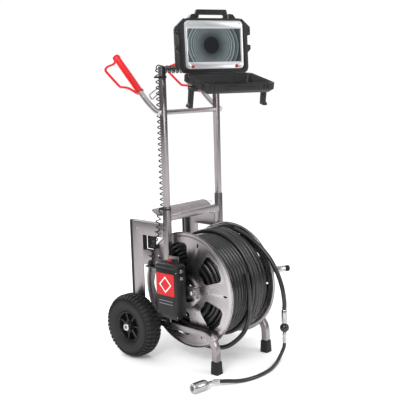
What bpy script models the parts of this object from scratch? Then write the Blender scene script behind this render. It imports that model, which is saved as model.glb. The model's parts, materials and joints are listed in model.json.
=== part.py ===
"""Pipe inspection trolley: a push-cable reel with a camera head on a two-wheeled
stainless hand truck, with a monitor in a hard case.

Metres, +Z up. X is the track width, -Y is the front (reel, feet, monitor) and +Y the rear
(wheels, handles). Local sizes are taken from the plane of the uprights and the middle of
the track; TROLLEY_SHIFT moves them so that the origin is under the middle of the box.
"""
import bmesh
import bpy
from math import cos, pi, radians, sin
from mathutils import Matrix, Vector

# Driving dimensions, in metres
TROLLEY_SHIFT = 0.0430       # moves the whole object along Y onto its own origin
GAP = 0.0003                 # between two pieces that touch
TRACK = 0.1525               # half the distance between the two side frames
TUBE = 0.025                 # lower square tube
TUBE_WALL = 0.0022
INNER = 0.020                # upper square tube, which slides in the lower one
BASE_Z = 0.147               # centre of the horizontal side tube
LEG_Y = -0.2385
LEG_BEND = 0.065
LOWER_TOP = {-1: 0.620, 1: 0.636}
UPPER_FOOT = 0.505
UPPER_TOP = 1.157
TOP_BAR_Z = 1.145
MID_BAR_Z = 0.9835
CROSS_Z = 0.577
AXLE_Y, AXLE_Z = 0.152, 0.130
WHEEL_X, WHEEL_R = 0.213, 0.130
RIM_R = 0.0625
REEL_Y, REEL_Z = -0.0766, 0.295
FLANGE_X, FLANGE_R, FLANGE_T = 0.125, 0.230, 0.0025
CORE_R, PACK_R, PACK_X = 0.120, 0.208, 0.120
REEL_SHAFT_R = 0.010
CABLE_D, HOSE_D = 0.0175, 0.0145
CURLY_D = 0.021
HANDLE_X, HANDLE_D = 0.1752, 0.022
GRIP_R = 0.0135
GRIP_FOOT = (0.099, 1.062)
GRIP_HEAD = (0.229, 1.197)
SWIVEL = (0.0274, -0.0545, 1.1556)
MONITOR_YAW, MONITOR_TILT, LID_SLOPE = 23.8, 2.5, 12.0
TILT_Y, TILT_Z = -0.030, 0.0224
FACE_Y, CASE_REAR = -0.070, -0.010
CASE_W, CASE_LOW, CASE_HIGH = 0.280, -0.054, 0.149
SCREEN_W, SCREEN_H, SCREEN_Z = 0.218, 0.1228, 0.049
LID_D, LID_T = 0.200, 0.036

MATERIALS = {
    "brushed_steel": ((0.56, 0.54, 0.54), 0.36, 1.0),
    "polished_steel": ((0.75, 0.74, 0.74), 0.18, 1.0),
    "black_rubber": ((0.02, 0.02, 0.02), 0.80, 0.0),
    "black_plastic": ((0.025, 0.025, 0.028), 0.50, 0.0),
    "cable_jacket": ((0.03, 0.03, 0.032), 0.38, 0.0),
    "red_plastic": ((0.75, 0.02, 0.03), 0.32, 0.0),
    "label_print": ((0.70, 0.04, 0.05), 0.35, 0.0),
    "bezel_aluminium": ((0.72, 0.73, 0.75), 0.40, 1.0),
    "screen_glass": ((0.05, 0.10, 0.11), 0.08, 0.0),
}

for old in list(bpy.data.objects):
    bpy.data.objects.remove(old, do_unlink=True)


def material(name):
    """The named finish as a Principled material."""
    made = bpy.data.materials.get(name)
    if made:
        return made
    colour, roughness, metallic = MATERIALS[name]
    made = bpy.data.materials.new(name)
    made.use_nodes = True
    shader = made.node_tree.nodes["Principled BSDF"]
    shader.inputs["Base Color"].default_value = (*colour, 1.0)
    shader.inputs["Roughness"].default_value = roughness
    shader.inputs["Metallic"].default_value = metallic
    return made


def empty(name, location, parent=None, rotation=(0, 0, 0)):
    """A joint's frame: an empty on the joint's axis."""
    made = bpy.data.objects.new(name, None)
    made.location = location
    made.rotation_euler = rotation
    made.parent = parent
    bpy.context.collection.objects.link(made)
    return made


def add(name, data, finish, parent, location=(0, 0, 0), smooth=False):
    """Link a mesh or curve as one named sub-part."""
    made = bpy.data.objects.new(name, data)
    made.location = location
    made.parent = parent
    data.materials.append(material(finish))
    if smooth and isinstance(data, bpy.types.Mesh):
        data.shade_smooth()
        data.set_sharp_from_angle(angle=radians(35))
    bpy.context.collection.objects.link(made)
    return made


def loft(rings, closed=False, bm=None):
    """Skin a row of equal rings; the ends are capped, or joined to each other."""
    bm = bm or bmesh.new()
    rows = [[bm.verts.new(p) for p in ring] for ring in rings]
    pairs = list(zip(rows, rows[1:]))
    if closed:
        pairs.append((rows[-1], rows[0]))
    for low, high in pairs:
        for i in range(len(low)):
            j = (i + 1) % len(low)
            bm.faces.new((low[i], low[j], high[j], high[i]))
    if not closed:
        bm.faces.new(rows[0])
        bm.faces.new(rows[-1])
    return bm


def mesh_of(bm, name):
    """Close off a bmesh as a mesh with its faces pointing out."""
    bmesh.ops.recalc_face_normals(bm, faces=bm.faces)
    mesh = bpy.data.meshes.new(name)
    bm.to_mesh(mesh)
    bm.free()
    return mesh


def frame_to(axis):
    """Rotation that takes +Z onto the given axis."""
    return Vector((0, 0, 1)).rotation_difference(Vector(axis)).to_matrix()


def turned(profile, axis=(1, 0, 0), centre=(0, 0, 0), sides=32, closed=False, bm=None):
    """Turn a profile of (radius, height along the axis) points."""
    turn = frame_to(axis)
    middle = Vector(centre)
    rings = []
    for radius, height in profile:
        angles = [2 * pi * (i + 0.5) / sides for i in range(sides)]
        rings.append([middle + turn @ Vector((radius * cos(a), radius * sin(a), height)) for a in angles])
    return loft(rings, closed, bm)


def block(low, high, bm=None):
    """A box between two corners."""
    bm = bm or bmesh.new()
    size = [b - a for a, b in zip(low, high)]
    middle = [(a + b) / 2 for a, b in zip(low, high)]
    place = Matrix.Translation(middle) @ Matrix.Diagonal((*size, 1.0))
    bmesh.ops.create_cube(bm, size=1.0, matrix=place)
    return bm


def rounded(corners, radius, steps=3):
    """Outline with its corners rounded: (a, b) points, anticlockwise."""
    out = []
    count = len(corners)
    for i in range(count):
        here = Vector(corners[i])
        back = (Vector(corners[i - 1]) - here).normalized()
        ahead = (Vector(corners[(i + 1) % count]) - here).normalized()
        half = back.angle(ahead) / 2
        reach = radius / max(0.2, abs(sin(half) / cos(half)))
        start, end = here + back * reach, here + ahead * reach
        centre = here + (back + ahead).normalized() * (radius / sin(half))
        for k in range(steps + 1):
            t = k / steps
            spoke = ((start - centre).lerp(end - centre, t)).normalized() * radius
            out.append(centre + spoke)
    return out


def rect(width, height, radius, centre=(0, 0), steps=3):
    """A rounded rectangle's outline."""
    w, h = width / 2, height / 2
    x, y = centre
    return rounded([(x - w, y - h), (x + w, y - h), (x + w, y + h), (x - w, y + h)], radius, steps)


def smooth_path(points, spacing):
    """Evenly spaced points of a smooth curve through the given ones."""
    pts = [Vector(p) for p in points]
    pts = [2 * pts[0] - pts[1]] + pts + [2 * pts[-1] - pts[-2]]
    fine = []
    for a, b, c, d in zip(pts, pts[1:], pts[2:], pts[3:]):
        for k in range(24):
            t = k / 24
            fine.append(0.5 * (2 * b + (c - a) * t + (2 * a - 5 * b + 4 * c - d) * t * t
                               + (3 * b - a - 3 * c + d) * t ** 3))
    fine.append(pts[-2])
    total = sum((b - a).length for a, b in zip(fine, fine[1:]))
    count = max(2, round(total / spacing))
    out, walked, goal = [fine[0]], 0.0, total / count
    for a, b in zip(fine, fine[1:]):
        step = (b - a).length
        while walked + step >= goal * len(out) - 1e-9 and len(out) < count:
            out.append(a.lerp(b, (goal * len(out) - walked) / step))
        walked += step
    out.append(fine[-1])
    return out


def tube(name, points, diameter, finish, parent, resolution=2):
    """A round rod or cord along a path: a curve with a bevel and filled caps."""
    curve = bpy.data.curves.new(name, "CURVE")
    curve.dimensions = "3D"
    curve.bevel_depth = diameter / 2
    curve.bevel_resolution = resolution
    curve.use_fill_caps = True
    spline = curve.splines.new("POLY")
    spline.points.add(len(points) - 1)
    for knot, point in zip(spline.points, points):
        knot.co = (*point, 1.0)
        knot.radius = 1.0
    return add(name, curve, finish, parent)


def swept(points, radius, sides=8):
    """A round rod's mesh along a path that lies in a plane of constant x."""
    rings = []
    for i, here in enumerate(points):
        way = (points[min(i + 1, len(points) - 1)] - points[max(i - 1, 0)]).normalized()
        across = Vector((1, 0, 0))
        up = way.cross(across)
        angles = [2 * pi * k / sides for k in range(sides)]
        rings.append([here + radius * (across * cos(a) + up * sin(a)) for a in angles])
    return loft(rings)


def square_bar(path, side, x):
    """Rings of a square bar whose centreline runs in a plane of constant x: (y, z) points."""
    rings = []
    for i, here in enumerate(path):
        ahead = Vector(path[min(i + 1, len(path) - 1)])
        back = Vector(path[max(i - 1, 0)])
        way = (ahead - back).normalized()
        out = Vector((-way.y, way.x)) * side / 2
        a, b = Vector(here) + out, Vector(here) - out
        rings.append([(x - side / 2, *a), (x + side / 2, *a), (x + side / 2, *b), (x - side / 2, *b)])
    return rings


def combine(target, cutter_bm, name, operation="DIFFERENCE"):
    """Cut a shape out of a sub-part, or join one to it."""
    cutter = bpy.data.objects.new(name, mesh_of(cutter_bm, name))
    cutter.parent = target.parent
    cutter.location = target.location
    cutter.hide_render = True
    cutter.display_type = "WIRE"
    bpy.context.collection.objects.link(cutter)
    made = target.modifiers.new(name, "BOOLEAN")
    made.operation = operation
    made.solver = "EXACT"
    made.object = cutter


trolley = empty("trolley", (0, TROLLEY_SHIFT, 0))
SIDES = {"left": -1, "right": 1}


def side_frames():
    """Side tubes bent down into the front legs, foot caps, and the welded lower frame."""
    frame, bores = bmesh.new(), bmesh.new()
    reach = TRACK - TUBE / 2 + TUBE_WALL / 2
    block((-reach, -TUBE / 2 + 0.0002, CROSS_Z - TUBE / 2), (reach, TUBE / 2 - 0.0002, CROSS_Z + TUBE / 2), frame)
    made = add("lower_frame", mesh_of(frame, "lower_frame"), "brushed_steel", trolley)
    for word, side in SIDES.items():
        x = side * TRACK
        bend = [(LEG_Y + LEG_BEND - LEG_BEND * sin(a), BASE_Z - LEG_BEND + LEG_BEND * cos(a))
                for a in [k * pi / 2 / 6 for k in range(7)]]
        path = [(0.1300, BASE_Z)] + bend + [(LEG_Y, 0.0123)]
        bm = loft(square_bar(path, TUBE, x))
        add(f"side_tube_{word}", mesh_of(bm, "side_tube"), "brushed_steel", trolley)
        ring = []
        for width, z, radius in ((0.036, 0.0, 0.0035), (0.032, 0.048, 0.0035), (0.0256, 0.048, 0.0002),
                                 (0.0256, 0.012, 0.0002)):
            ring.append([(p.x + x, p.y + LEG_Y, z) for p in rect(width, width, radius, steps=1)])
        add(f"foot_cap_{word}", mesh_of(loft(ring), "foot_cap"), "black_rubber", trolley)
        low, high = BASE_Z + TUBE / 2 + GAP, LOWER_TOP[side]
        inside = TUBE - 2 * TUBE_WALL
        rings = [[(x + p.x, p.y, z) for p in rect(width, width, radius, steps=1)]
                 for width, z, radius in ((TUBE, low, 0.0015), (TUBE, high, 0.0015), (inside, high, 0.0001),
                                          (inside, low, 0.0001))]
        combine(made, loft(rings, closed=True), f"upright_{word}", "UNION")


def side_plates():
    """Folded side plates from the uprights to the wheel axle, and their skid strips."""
    front, rear, top, low = TUBE / 2 + GAP, 0.190, 0.5505, 0.100
    outline = [(front, 0.4965), (0.131, 0.4965), (0.131, 0.436), (0.083, 0.436), (0.083, 0.376),
               (0.131, 0.376), (0.131, low), (rear, low), (rear, top), (front, top)]
    wall = 0.003
    inset = [(front + wall, 0.4965 + wall), (0.131 + wall, 0.4965 + wall), (0.131 + wall, 0.436 - wall),
             (0.083 + wall, 0.436 - wall), (0.083 + wall, 0.376 + wall), (0.131 + wall, 0.376 + wall),
             (0.131 + wall, low + wall), (rear - wall, low + wall), (rear - wall, top - wall),
             (front + wall, top - wall)]
    for word, side in SIDES.items():
        outer, inner, floor = side * 0.165, side * 0.1405, side * 0.162
        rings = [[(outer, *p) for p in outline], [(inner, *p) for p in outline],
                 [(inner, *p) for p in inset], [(floor, *p) for p in inset]]
        plate = add(f"side_plate_{word}", mesh_of(loft(rings), "side_plate"), "brushed_steel", trolley)
        hole = turned([(0.0103, 0.13), (0.0103, 0.18)], (side, 0, 0), (0, AXLE_Y, AXLE_Z), 20)
        combine(plate, hole, f"axle_hole_{word}")
        x = sorted((side * 0.1380, side * 0.1620))
        open_side = block((x[0], 0.1290, low + wall), (x[1], 0.1345, 0.376 - wall))
        combine(plate, open_side, f"open_side_{word}")
        x = sorted((side * 0.1430, side * 0.1620))
        bm = block((x[0], rear + GAP, 0.243), (x[1], 0.208, 0.551))
        add(f"skid_strip_{word}", mesh_of(bm, "skid_strip"), "black_rubber", trolley)
    bm = block((-0.1400, 0.0840, 0.4370), (-0.1330, 0.1300, 0.4960))
    add("terminal_block", mesh_of(bm, "terminal_block"), "black_plastic", trolley)


def accessory_tray():
    """Curved sheet behind the cross member, on two brackets."""
    front, thick = 0.0345, 0.0022
    skin = [(front + 0.046 * t, 0.5785 + 0.024 * sin(t * pi * 0.62)) for t in [k / 8 for k in range(9)]]
    outline = skin + [(y, z - thick) for y, z in reversed(skin)]
    bm = loft([[(x, *p) for p in outline] for x in (-0.140, 0.148)])
    tray = add("accessory_tray", mesh_of(bm, "accessory_tray"), "brushed_steel", trolley)
    brackets = bmesh.new()
    for x in (-0.095, 0.095):
        block((x - 0.012, TUBE / 2 + GAP, 0.5730), (x + 0.012, 0.0400, 0.5775), brackets)
    combine(tray, brackets, "tray_brackets", "UNION")


def wheels():
    """Axle with flanged ends, and on each end a plastic rim and a pneumatic tyre."""
    cap, end = 0.0150, 0.2520
    half = [(REEL_SHAFT_R, end), (cap, end), (cap, end + 0.0035), (cap - 0.003, end + 0.0055)]
    axle = turned([(r, -h) for r, h in reversed(half)] + half, (1, 0, 0), (0, AXLE_Y, AXLE_Z), 24)
    add("wheel_axle", mesh_of(axle, "wheel_axle"), "polished_steel", trolley, smooth=True)
    tyre = [(RIM_R + 0.0008, -0.0300), (0.0760, -0.0395), (0.0930, -0.0425), (0.1100, -0.0400),
            (0.1235, -0.0300), (0.1292, -0.0150), (WHEEL_R, 0.0), (0.1292, 0.0150), (0.1235, 0.0300),
            (0.1100, 0.0400), (0.0930, 0.0425), (0.0760, 0.0395), (RIM_R + 0.0008, 0.0300)]
    rim = [(0.0104, -0.0360), (0.0190, -0.0360), (0.0210, -0.0120), (0.0530, -0.0090), (0.0560, -0.0290),
           (RIM_R, -0.0310), (RIM_R, 0.0310), (0.0560, 0.0290), (0.0530, 0.0090), (0.0210, 0.0120),
           (0.0190, 0.0360), (0.0104, 0.0360)]
    for word, side in SIDES.items():
        spin = empty(f"wheel_{word}_spin", (side * WHEEL_X, AXLE_Y, AXLE_Z), trolley)
        add(f"tyre_{word}", mesh_of(turned(tyre, sides=32, closed=True), "tyre"), "black_rubber", spin, smooth=True)
        add(f"rim_{word}", mesh_of(turned(rim, sides=24, closed=True), "rim"), "black_plastic", spin, smooth=True)


def reel():
    """Shaft in two arms; on it the flanges with five windows each, the core and the wound cable."""
    shaft = turned([(REEL_SHAFT_R, -0.1640), (REEL_SHAFT_R, 0.1640)], (1, 0, 0), (0, REEL_Y, REEL_Z), 20)
    add("reel_shaft", mesh_of(shaft, "reel_shaft"), "polished_steel", trolley, smooth=True)
    for word, side in SIDES.items():
        x = sorted((side * 0.1425, side * 0.1625))
        far = -0.152 if side < 0 else -0.098
        bm = block((x[0], far, 0.278), (x[1], -TUBE / 2 - GAP, 0.318))
        arm = add(f"reel_arm_{word}", mesh_of(bm, "reel_arm"), "brushed_steel", trolley)
        hole = turned([(REEL_SHAFT_R + GAP, 0.13), (REEL_SHAFT_R + GAP, 0.18)], (side, 0, 0),
                      (0, REEL_Y, REEL_Z), 20)
        if side < 0:
            turned([(0.0048, 0.13), (0.0048, 0.18)], (side, 0, 0), (0, -0.138, 0.303), 16, bm=hole)
        combine(arm, hole, f"arm_holes_{word}")
    pin = empty("reel_lock", (-0.1525, -0.138, 0.303), trolley)
    shape = turned([(0.0044, -0.0157), (0.0044, 0.0105), (0.0090, 0.0105), (0.0090, 0.0260), (0.0070, 0.0275)],
                   (-1, 0, 0), sides=20)
    add("reel_lock_pin", mesh_of(shape, "reel_lock_pin"), "polished_steel", pin, smooth=True)

    spin = empty("reel_spin", (0, REEL_Y, REEL_Z), trolley)
    bore = REEL_SHAFT_R + GAP
    face = [(bore, 0.0100), (0.045, 0.0100), (0.056, 0.0035), (0.066, 0.0), (0.2245, 0.0), (0.2270, 0.0035),
            (FLANGE_R, 0.0035)]
    for word, side in SIDES.items():
        start = FLANGE_X - FLANGE_T / 2
        profile = [(r, start + h + FLANGE_T) for r, h in face] + [(r, start + h) for r, h in reversed(face)]
        flange = add(f"reel_flange_{word}", mesh_of(turned(profile, (side, 0, 0), sides=40, closed=True),
                                                    "reel_flange"), "polished_steel", spin, smooth=True)
        windows = bmesh.new()
        for k in range(5):
            middle = radians(37 + 72 * k)
            corners = []
            for r, spread in ((0.090, -1), (0.187, -1), (0.187, 0), (0.187, 1), (0.090, 1), (0.090, 0)):
                a = middle + spread * radians(18.5)
                bulge = 1.0 if spread else (1.035 if r > 0.1 else 1.05)
                corners.append((-r * bulge * cos(a), r * bulge * sin(a)))
            outline = rounded(corners, 0.012, 2)
            loft([[(side * x, p.x, p.y) for p in outline] for x in (0.115, 0.140)], bm=windows)
        combine(flange, windows, f"flange_windows_{word}")
    core = [(CORE_R - 0.012, -0.1230), (CORE_R - 0.012, 0.1230), (CORE_R, 0.1230), (CORE_R, -0.1230)]
    add("reel_core", mesh_of(turned(core, sides=40, closed=True), "reel_core"), "black_plastic", spin, smooth=True)
    wound = [(CORE_R + GAP, -PACK_X), (PACK_R - 0.006, -PACK_X), (PACK_R, -PACK_X + 0.012),
             (PACK_R, PACK_X - 0.012), (PACK_R - 0.006, PACK_X), (CORE_R + GAP, PACK_X)]
    add("wound_cable", mesh_of(turned(wound, sides=48, closed=True), "wound_cable"), "cable_jacket", spin,
        smooth=True)
    return spin


def control_box():
    """Power and signal box on the left side: housing, lid, label, switch, hanger and cord plug."""
    low, high = (-0.2253, -0.105, 0.200), (-0.1653, 0.003, 0.394)
    middle = ((low[0] + high[0]) / 2, (low[1] + high[1]) / 2)
    size = (high[0] - low[0], high[1] - low[1])

    def layer(grow, radius, z):
        return [(*p, z) for p in rect(size[0] + grow, size[1] + grow, radius, middle, 2)]

    body = loft([layer(-0.004, 0.005, low[2]), layer(0, 0.006, low[2] + 0.004), layer(0, 0.006, high[2])])
    box = add("control_box", mesh_of(body, "control_box"), "black_plastic", trolley)
    lid = loft([layer(0, 0.006, high[2] + GAP), layer(0, 0.006, 0.405), layer(-0.008, 0.006, 0.4115),
                layer(-0.020, 0.006, 0.415)])
    add("control_box_lid", mesh_of(lid, "control_box_lid"), "black_plastic", trolley)
    bm = block((low[0] - 0.0013, -0.098, 0.215), (low[0] - GAP, -0.005, 0.377))
    add("label_panel", mesh_of(bm, "label_panel"), "label_print", trolley)
    bm = block((-0.1649, -0.0665, 0.398), (-0.1619, -TUBE / 2 - GAP, 0.432))
    add("box_hanger", mesh_of(bm, "box_hanger"), "brushed_steel", trolley)
    rocker = empty("power_switch", (-0.1950, -0.0480, 0.4175), trolley)
    shape = loft([[(*p, z) for p in rect(0.010, w, 0.001, steps=1)] for w, z in ((0.016, 0.0), (0.013, 0.010))])
    add("power_rocker", mesh_of(shape, "power_rocker"), "red_plastic", rocker)
    combine(box, block((-0.2000, 0.0010, 0.378), (-0.1680, 0.0860, 0.3835)), "socket_tab", "UNION")
    plug = turned([(0.0105, 0.0), (0.0105, 0.010), (0.0085, 0.016)], (0, 0, 1), (-0.183, 0.0715, 0.3838), 16)
    add("curly_cord_plug", mesh_of(plug, "curly_cord_plug"), "black_rubber", trolley, smooth=True)


def curly_cord(upper):
    """Curly cord from the box up the back of the left upright and round the top bar."""
    route = [(-0.183, 0.0715, 0.4030), (-0.182, 0.0670, 0.425), (-0.181, 0.0590, 0.450), (-0.180, 0.0390, 0.496),
             (-0.180, 0.0275, 0.535), (-0.179, 0.0243, 0.562), (-0.168, 0.0245, 0.590), (-0.1545, 0.0240, 0.612)]
    tube("curly_cord_lower", smooth_path(route, 0.018), CURLY_D, "cable_jacket", trolley)
    back = 0.0233
    cord = turned([(CURLY_D / 2, 0.618), (CURLY_D / 2, 1.150)], (0, 0, 1), (-TRACK, back, 0), 12)
    add("curly_cord_long", mesh_of(cord, "curly_cord_long"), "cable_jacket", upper, smooth=True)
    sleeve = [(0.0105, -0.1400), (0.0105, 0.0080), (0.0155, 0.0080), (0.0155, -0.1400)]
    bm = turned(sleeve, (1, 0, 0), (0, 0, TOP_BAR_Z), 20, closed=True)
    add("curly_cord_bar", mesh_of(bm, "curly_cord_bar"), "cable_jacket", upper, smooth=True)


def upper_frame():
    """Upper tubes, bars and handles, which slide as one in the lower uprights."""
    upper = empty("upper_slide", (0, 0, 0), trolley)
    reach = TRACK - 0.002
    frame = None
    for word, side in SIDES.items():
        x = side * TRACK
        bm = block((x - INNER / 2, -INNER / 2, UPPER_FOOT), (x + INNER / 2, INNER / 2, UPPER_TOP))
        if frame:
            combine(frame, bm, f"upright_{word}", "UNION")
        else:
            frame = add("upper_frame", mesh_of(bm, "upper_frame"), "brushed_steel", upper)
            for z, radius in ((TOP_BAR_Z, 0.0097), (MID_BAR_Z, 0.0097)):
                bar = turned([(radius, -reach), (radius, reach)], (1, 0, 0), (0, 0, z), 20)
                combine(frame, bar, f"bar_{z}", "UNION")
    foot, head = Vector(GRIP_FOOT), Vector(GRIP_HEAD)
    way = (head - foot).normalized()
    down = Vector((way.y, -way.x))
    length = (head - foot).length
    for word, side in SIDES.items():
        x = side * HANDLE_X
        bend = [(-0.004, 0.9820), (0.012, 0.9880), (0.0275, 0.998), (0.062, 1.0255), tuple(foot), tuple(head)]
        path = smooth_path([(x, y, z) for y, z in bend], 0.016)
        tube(f"handle_tube_{word}", path, HANDLE_D, "polished_steel", upper, 3)
        hollow, shell = HANDLE_D / 2 + 0.0008, GRIP_R
        profile = [(hollow, length + GAP), (hollow, 0.0), (shell + 0.0015, 0.0), (shell + 0.0015, 0.006),
                   (shell, 0.008), (shell, length - 0.006), (shell + 0.0015, length - 0.004),
                   (shell + 0.0015, length + 0.005), (shell - 0.002, length + 0.007)]
        bm = turned(profile, (0, *way), (x, *foot), 20)
        grip = add(f"grip_{word}", mesh_of(bm, "grip"), "red_plastic", upper, smooth=True)
        top = foot + way * (length - 0.003) + down * (shell - 0.0005)
        low = foot + way * 0.0065 + down * (shell - 0.0008)
        guard = [top, top + down * 0.016, (0.283, 1.166), (0.2975, 1.157), (0.297, 1.148), (0.286, 1.138),
                 (0.222, 1.089), (0.207, 1.0835), (0.190, 1.082), (0.160, 1.076), low + down * 0.012 + Vector((0.012, 0.009)), low + down * 0.005, low]
        combine(grip, swept(smooth_path([(x, *p) for p in guard], 0.012), 0.00425), f"guard_{word}", "UNION")
    x = -0.1393
    hook = [(-0.004, 1.0950), (0.020, 1.0855), (0.080, 1.0550), (0.0865, 1.0500), (0.0840, 1.0440),
            (0.0760, 1.0360), (0.0690, 1.0360), (0.020, 1.0640), (-0.004, 1.0740)]
    tube("cable_hook", smooth_path([(x, y, z) for y, z in hook], 0.009), 0.005, "polished_steel", upper)
    x, y = SWIVEL[0], SWIVEL[1]
    clamp = block((x - 0.018, y - 0.018, 1.1370), (x + 0.018, -0.0103, 1.1530))
    add("swivel_arm", mesh_of(clamp, "swivel_arm"), "black_plastic", upper)
    return upper


def outline_of_case(grow=0.0):
    """The case's outline, (x, z), with its top corners cut back."""
    w, low, high = CASE_W / 2 + grow, CASE_LOW - grow, CASE_HIGH + grow
    corners = [(-w, low), (w, low), (w, high - 0.044), (w - 0.026, high), (-w + 0.026, high), (-w, high - 0.044)]
    return rounded(corners, 0.016, 3)


def monitor(upper):
    """Monitor in its hard case: swivel, tilt, bezel, screen, buttons, carry handle, lid and latches."""
    swivel = empty("monitor_swivel", SWIVEL, upper, (0, 0, radians(-MONITOR_YAW)))
    bm = block((-0.0225, -0.0360, 0.0060), (0.0225, 0.0160, 0.0095))
    bracket = add("swivel_bracket", mesh_of(bm, "swivel_bracket"), "black_plastic", swivel)
    post = turned([(0.016, -0.0022), (0.016, 0.0070)], (0, 0, 1), sides=24)
    combine(bracket, post, "swivel_post", "UNION")
    cheeks = bmesh.new()
    for x in (-0.0220, 0.0190):
        block((x, -0.0365, 0.0085), (x + 0.003, -0.0220, 0.0320), cheeks)
    combine(bracket, cheeks, "swivel_cheeks", "UNION")
    tilt = empty("monitor_tilt", (0, TILT_Y, TILT_Z), swivel, (radians(-MONITOR_TILT), 0, 0))

    rings = [[(p.x, y, p.y) for p in outline_of_case(grow)]
             for y, grow in ((FACE_Y, -0.002), (FACE_Y + 0.003, 0.0), (FACE_Y + 0.020, -0.002),
                             (CASE_REAR - 0.006, -0.020), (CASE_REAR, -0.026))]
    case = add("monitor_case", mesh_of(loft(rings), "monitor_case"), "black_plastic", tilt)
    ears = bmesh.new()
    for side in SIDES.values():
        upper_ear = [(0.110, 0.146), (0.120, 0.1478), (0.154, 0.117), (0.154, 0.088), (0.136, 0.082), (0.110, 0.082)]
        lower_ear = [(0.134, 0.052), (0.154, 0.049), (0.154, 0.033), (0.134, 0.014)]
        for ear in (upper_ear, lower_ear):
            loft([[(side * x, y, z) for x, z in ear] for y in (FACE_Y + 0.004, FACE_Y + 0.018)], bm=ears)
        x = sorted((side * 0.030, side * 0.085))
        block((x[0], FACE_Y + 0.004, CASE_LOW - 0.0040), (x[1], FACE_Y + 0.022, CASE_LOW + 0.004), ears)
        shoulder = [(0.0705, -0.004), (0.1000, -0.004), (0.0850, 0.0150), (0.0705, 0.0170)]
        loft([[(side * x, y, CASE_HIGH + z) for x, z in shoulder] for y in (FACE_Y + 0.008, FACE_Y + 0.036)],
             bm=ears)
    combine(case, ears, "case_ears", "UNION")
    holes = bmesh.new()
    for side in SIDES.values():
        turned([(0.0028, -0.02), (0.0028, 0.04)], (0, 1, 0), (side * 0.1475, FACE_Y, 0.102), 16, bm=holes)
    combine(case, holes, "ear_holes")
    knuckle = block((-0.0185, CASE_REAR - 0.003, -0.006), (0.0185, 0.0055, 0.006))
    combine(case, knuckle, "tilt_knuckle", "UNION")
    bezel_w, bezel_h, bezel_z = 0.2400, 0.1780, SCREEN_Z + 0.0017
    floor = FACE_Y + 0.0058
    pocket = loft([[(p.x, y, p.y) for p in rect(bezel_w + 0.001, bezel_h + 0.001, 0.015, (0, bezel_z))]
                   for y in (FACE_Y - 0.01, floor)])
    combine(case, pocket, "bezel_pocket")
    plate = [[(p.x, y, p.y) for p in rect(w, h, r, (0, z))]
             for y, w, h, r, z in ((FACE_Y + 0.0010, bezel_w, bezel_h, 0.0145, bezel_z),
                                   (FACE_Y + 0.0036, bezel_w, bezel_h, 0.0145, bezel_z),
                                   (FACE_Y + 0.0036, SCREEN_W + 0.0006, SCREEN_H + 0.0006, 0.002, SCREEN_Z),
                                   (FACE_Y + 0.0010, SCREEN_W + 0.0006, SCREEN_H + 0.0006, 0.002, SCREEN_Z))]
    bezel = add("monitor_bezel", mesh_of(loft(plate, closed=True), "monitor_bezel"), "bezel_aluminium", tilt)
    button_x, button_z = 0.0912, SCREEN_Z - 0.0782
    holes = bmesh.new()
    for side in SIDES.values():
        turned([(0.0059, -0.01), (0.0059, 0.01)], (0, 1, 0), (side * button_x, FACE_Y, button_z), 20, bm=holes)
    combine(bezel, holes, "button_holes")
    bm = loft([[(p.x, y, p.y) for p in rect(SCREEN_W, SCREEN_H, 0.0017, (0, SCREEN_Z))]
               for y in (FACE_Y + 0.0014, floor - GAP)])
    add("screen", mesh_of(bm, "screen"), "screen_glass", tilt)
    for word, side in SIDES.items():
        press = empty(f"button_{word}_press", (side * button_x, FACE_Y, button_z), tilt)
        bm = turned([(0.0055, -0.0040), (0.0055, 0.0018), (0.0045, 0.0026)], (0, -1, 0), sides=20)
        add(f"monitor_button_{word}", mesh_of(bm, "monitor_button"), "red_plastic", press, smooth=True)
    fold = empty("carry_handle_fold", (0, FACE_Y + 0.023, CASE_HIGH + 0.0085), tilt)
    outer = rounded([(-0.0685, -0.0060), (0.0685, -0.0060), (0.0620, 0.0250), (-0.0620, 0.0250)], 0.004, 2)
    grip = loft([[(p.x, y, p.y) for p in outer] for y in (-0.0085, 0.0085)])
    bow = add("carry_handle", mesh_of(grip, "carry_handle"), "black_plastic", fold)
    inner = rounded([(-0.0560, -0.0200), (0.0560, -0.0200), (0.0520, 0.0060), (-0.0520, 0.0060)], 0.004, 2)
    combine(bow, loft([[(p.x, y, p.y) for p in inner] for y in (-0.02, 0.02)]), "finger_space")

    hinge = empty("lid_hinge", (0, FACE_Y - 0.0080, CASE_LOW - 0.0060), tilt,
                  (radians(LID_SLOPE + MONITOR_TILT), 0, 0))
    centre = (0, -0.006 - LID_D / 2)
    layers = ((CASE_W - 0.024, LID_D - 0.024, -LID_T + 0.006, 0.014), (CASE_W, LID_D, -LID_T + 0.018, 0.016),
              (CASE_W, LID_D, 0.0055, 0.016), (CASE_W - 0.030, LID_D - 0.034, 0.0055, 0.012),
              (CASE_W - 0.048, LID_D - 0.052, -LID_T + 0.010, 0.010))
    bm = loft([[(*p, z) for p in rect(w, d, r, centre)] for w, d, z, r in layers])
    lid = add("case_lid", mesh_of(bm, "case_lid"), "black_plastic", hinge)
    ears = bmesh.new()
    for side in SIDES.values():
        x = sorted((side * (CASE_W / 2 - 0.010), side * (CASE_W / 2 + 0.0130)))
        for y in (-0.1255, -0.0905):
            block((x[0], y, -0.0350), (x[1], y + 0.0040, -0.0220), ears)
    combine(lid, ears, "latch_ears", "UNION")
    for word, side in SIDES.items():
        pivot = empty(f"latch_{word}_swing", (side * (CASE_W / 2 + 0.0075), -0.106, -0.0290), hinge)
        crown = [(0.0060 * cos(a), 0.0060 * sin(a)) for a in [pi * k / 8 for k in range(9)]]
        outline = crown + [(-0.0045, -0.0680), (0.0120, -0.0680), (0.0120, -0.0600), (0.0055, -0.0530)]
        rings = [[(side * x, y, z) for x, z in outline] for y in (-0.0150, 0.0150)]
        add(f"latch_{word}", mesh_of(loft(rings), "latch"), "black_plastic", pivot)


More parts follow.
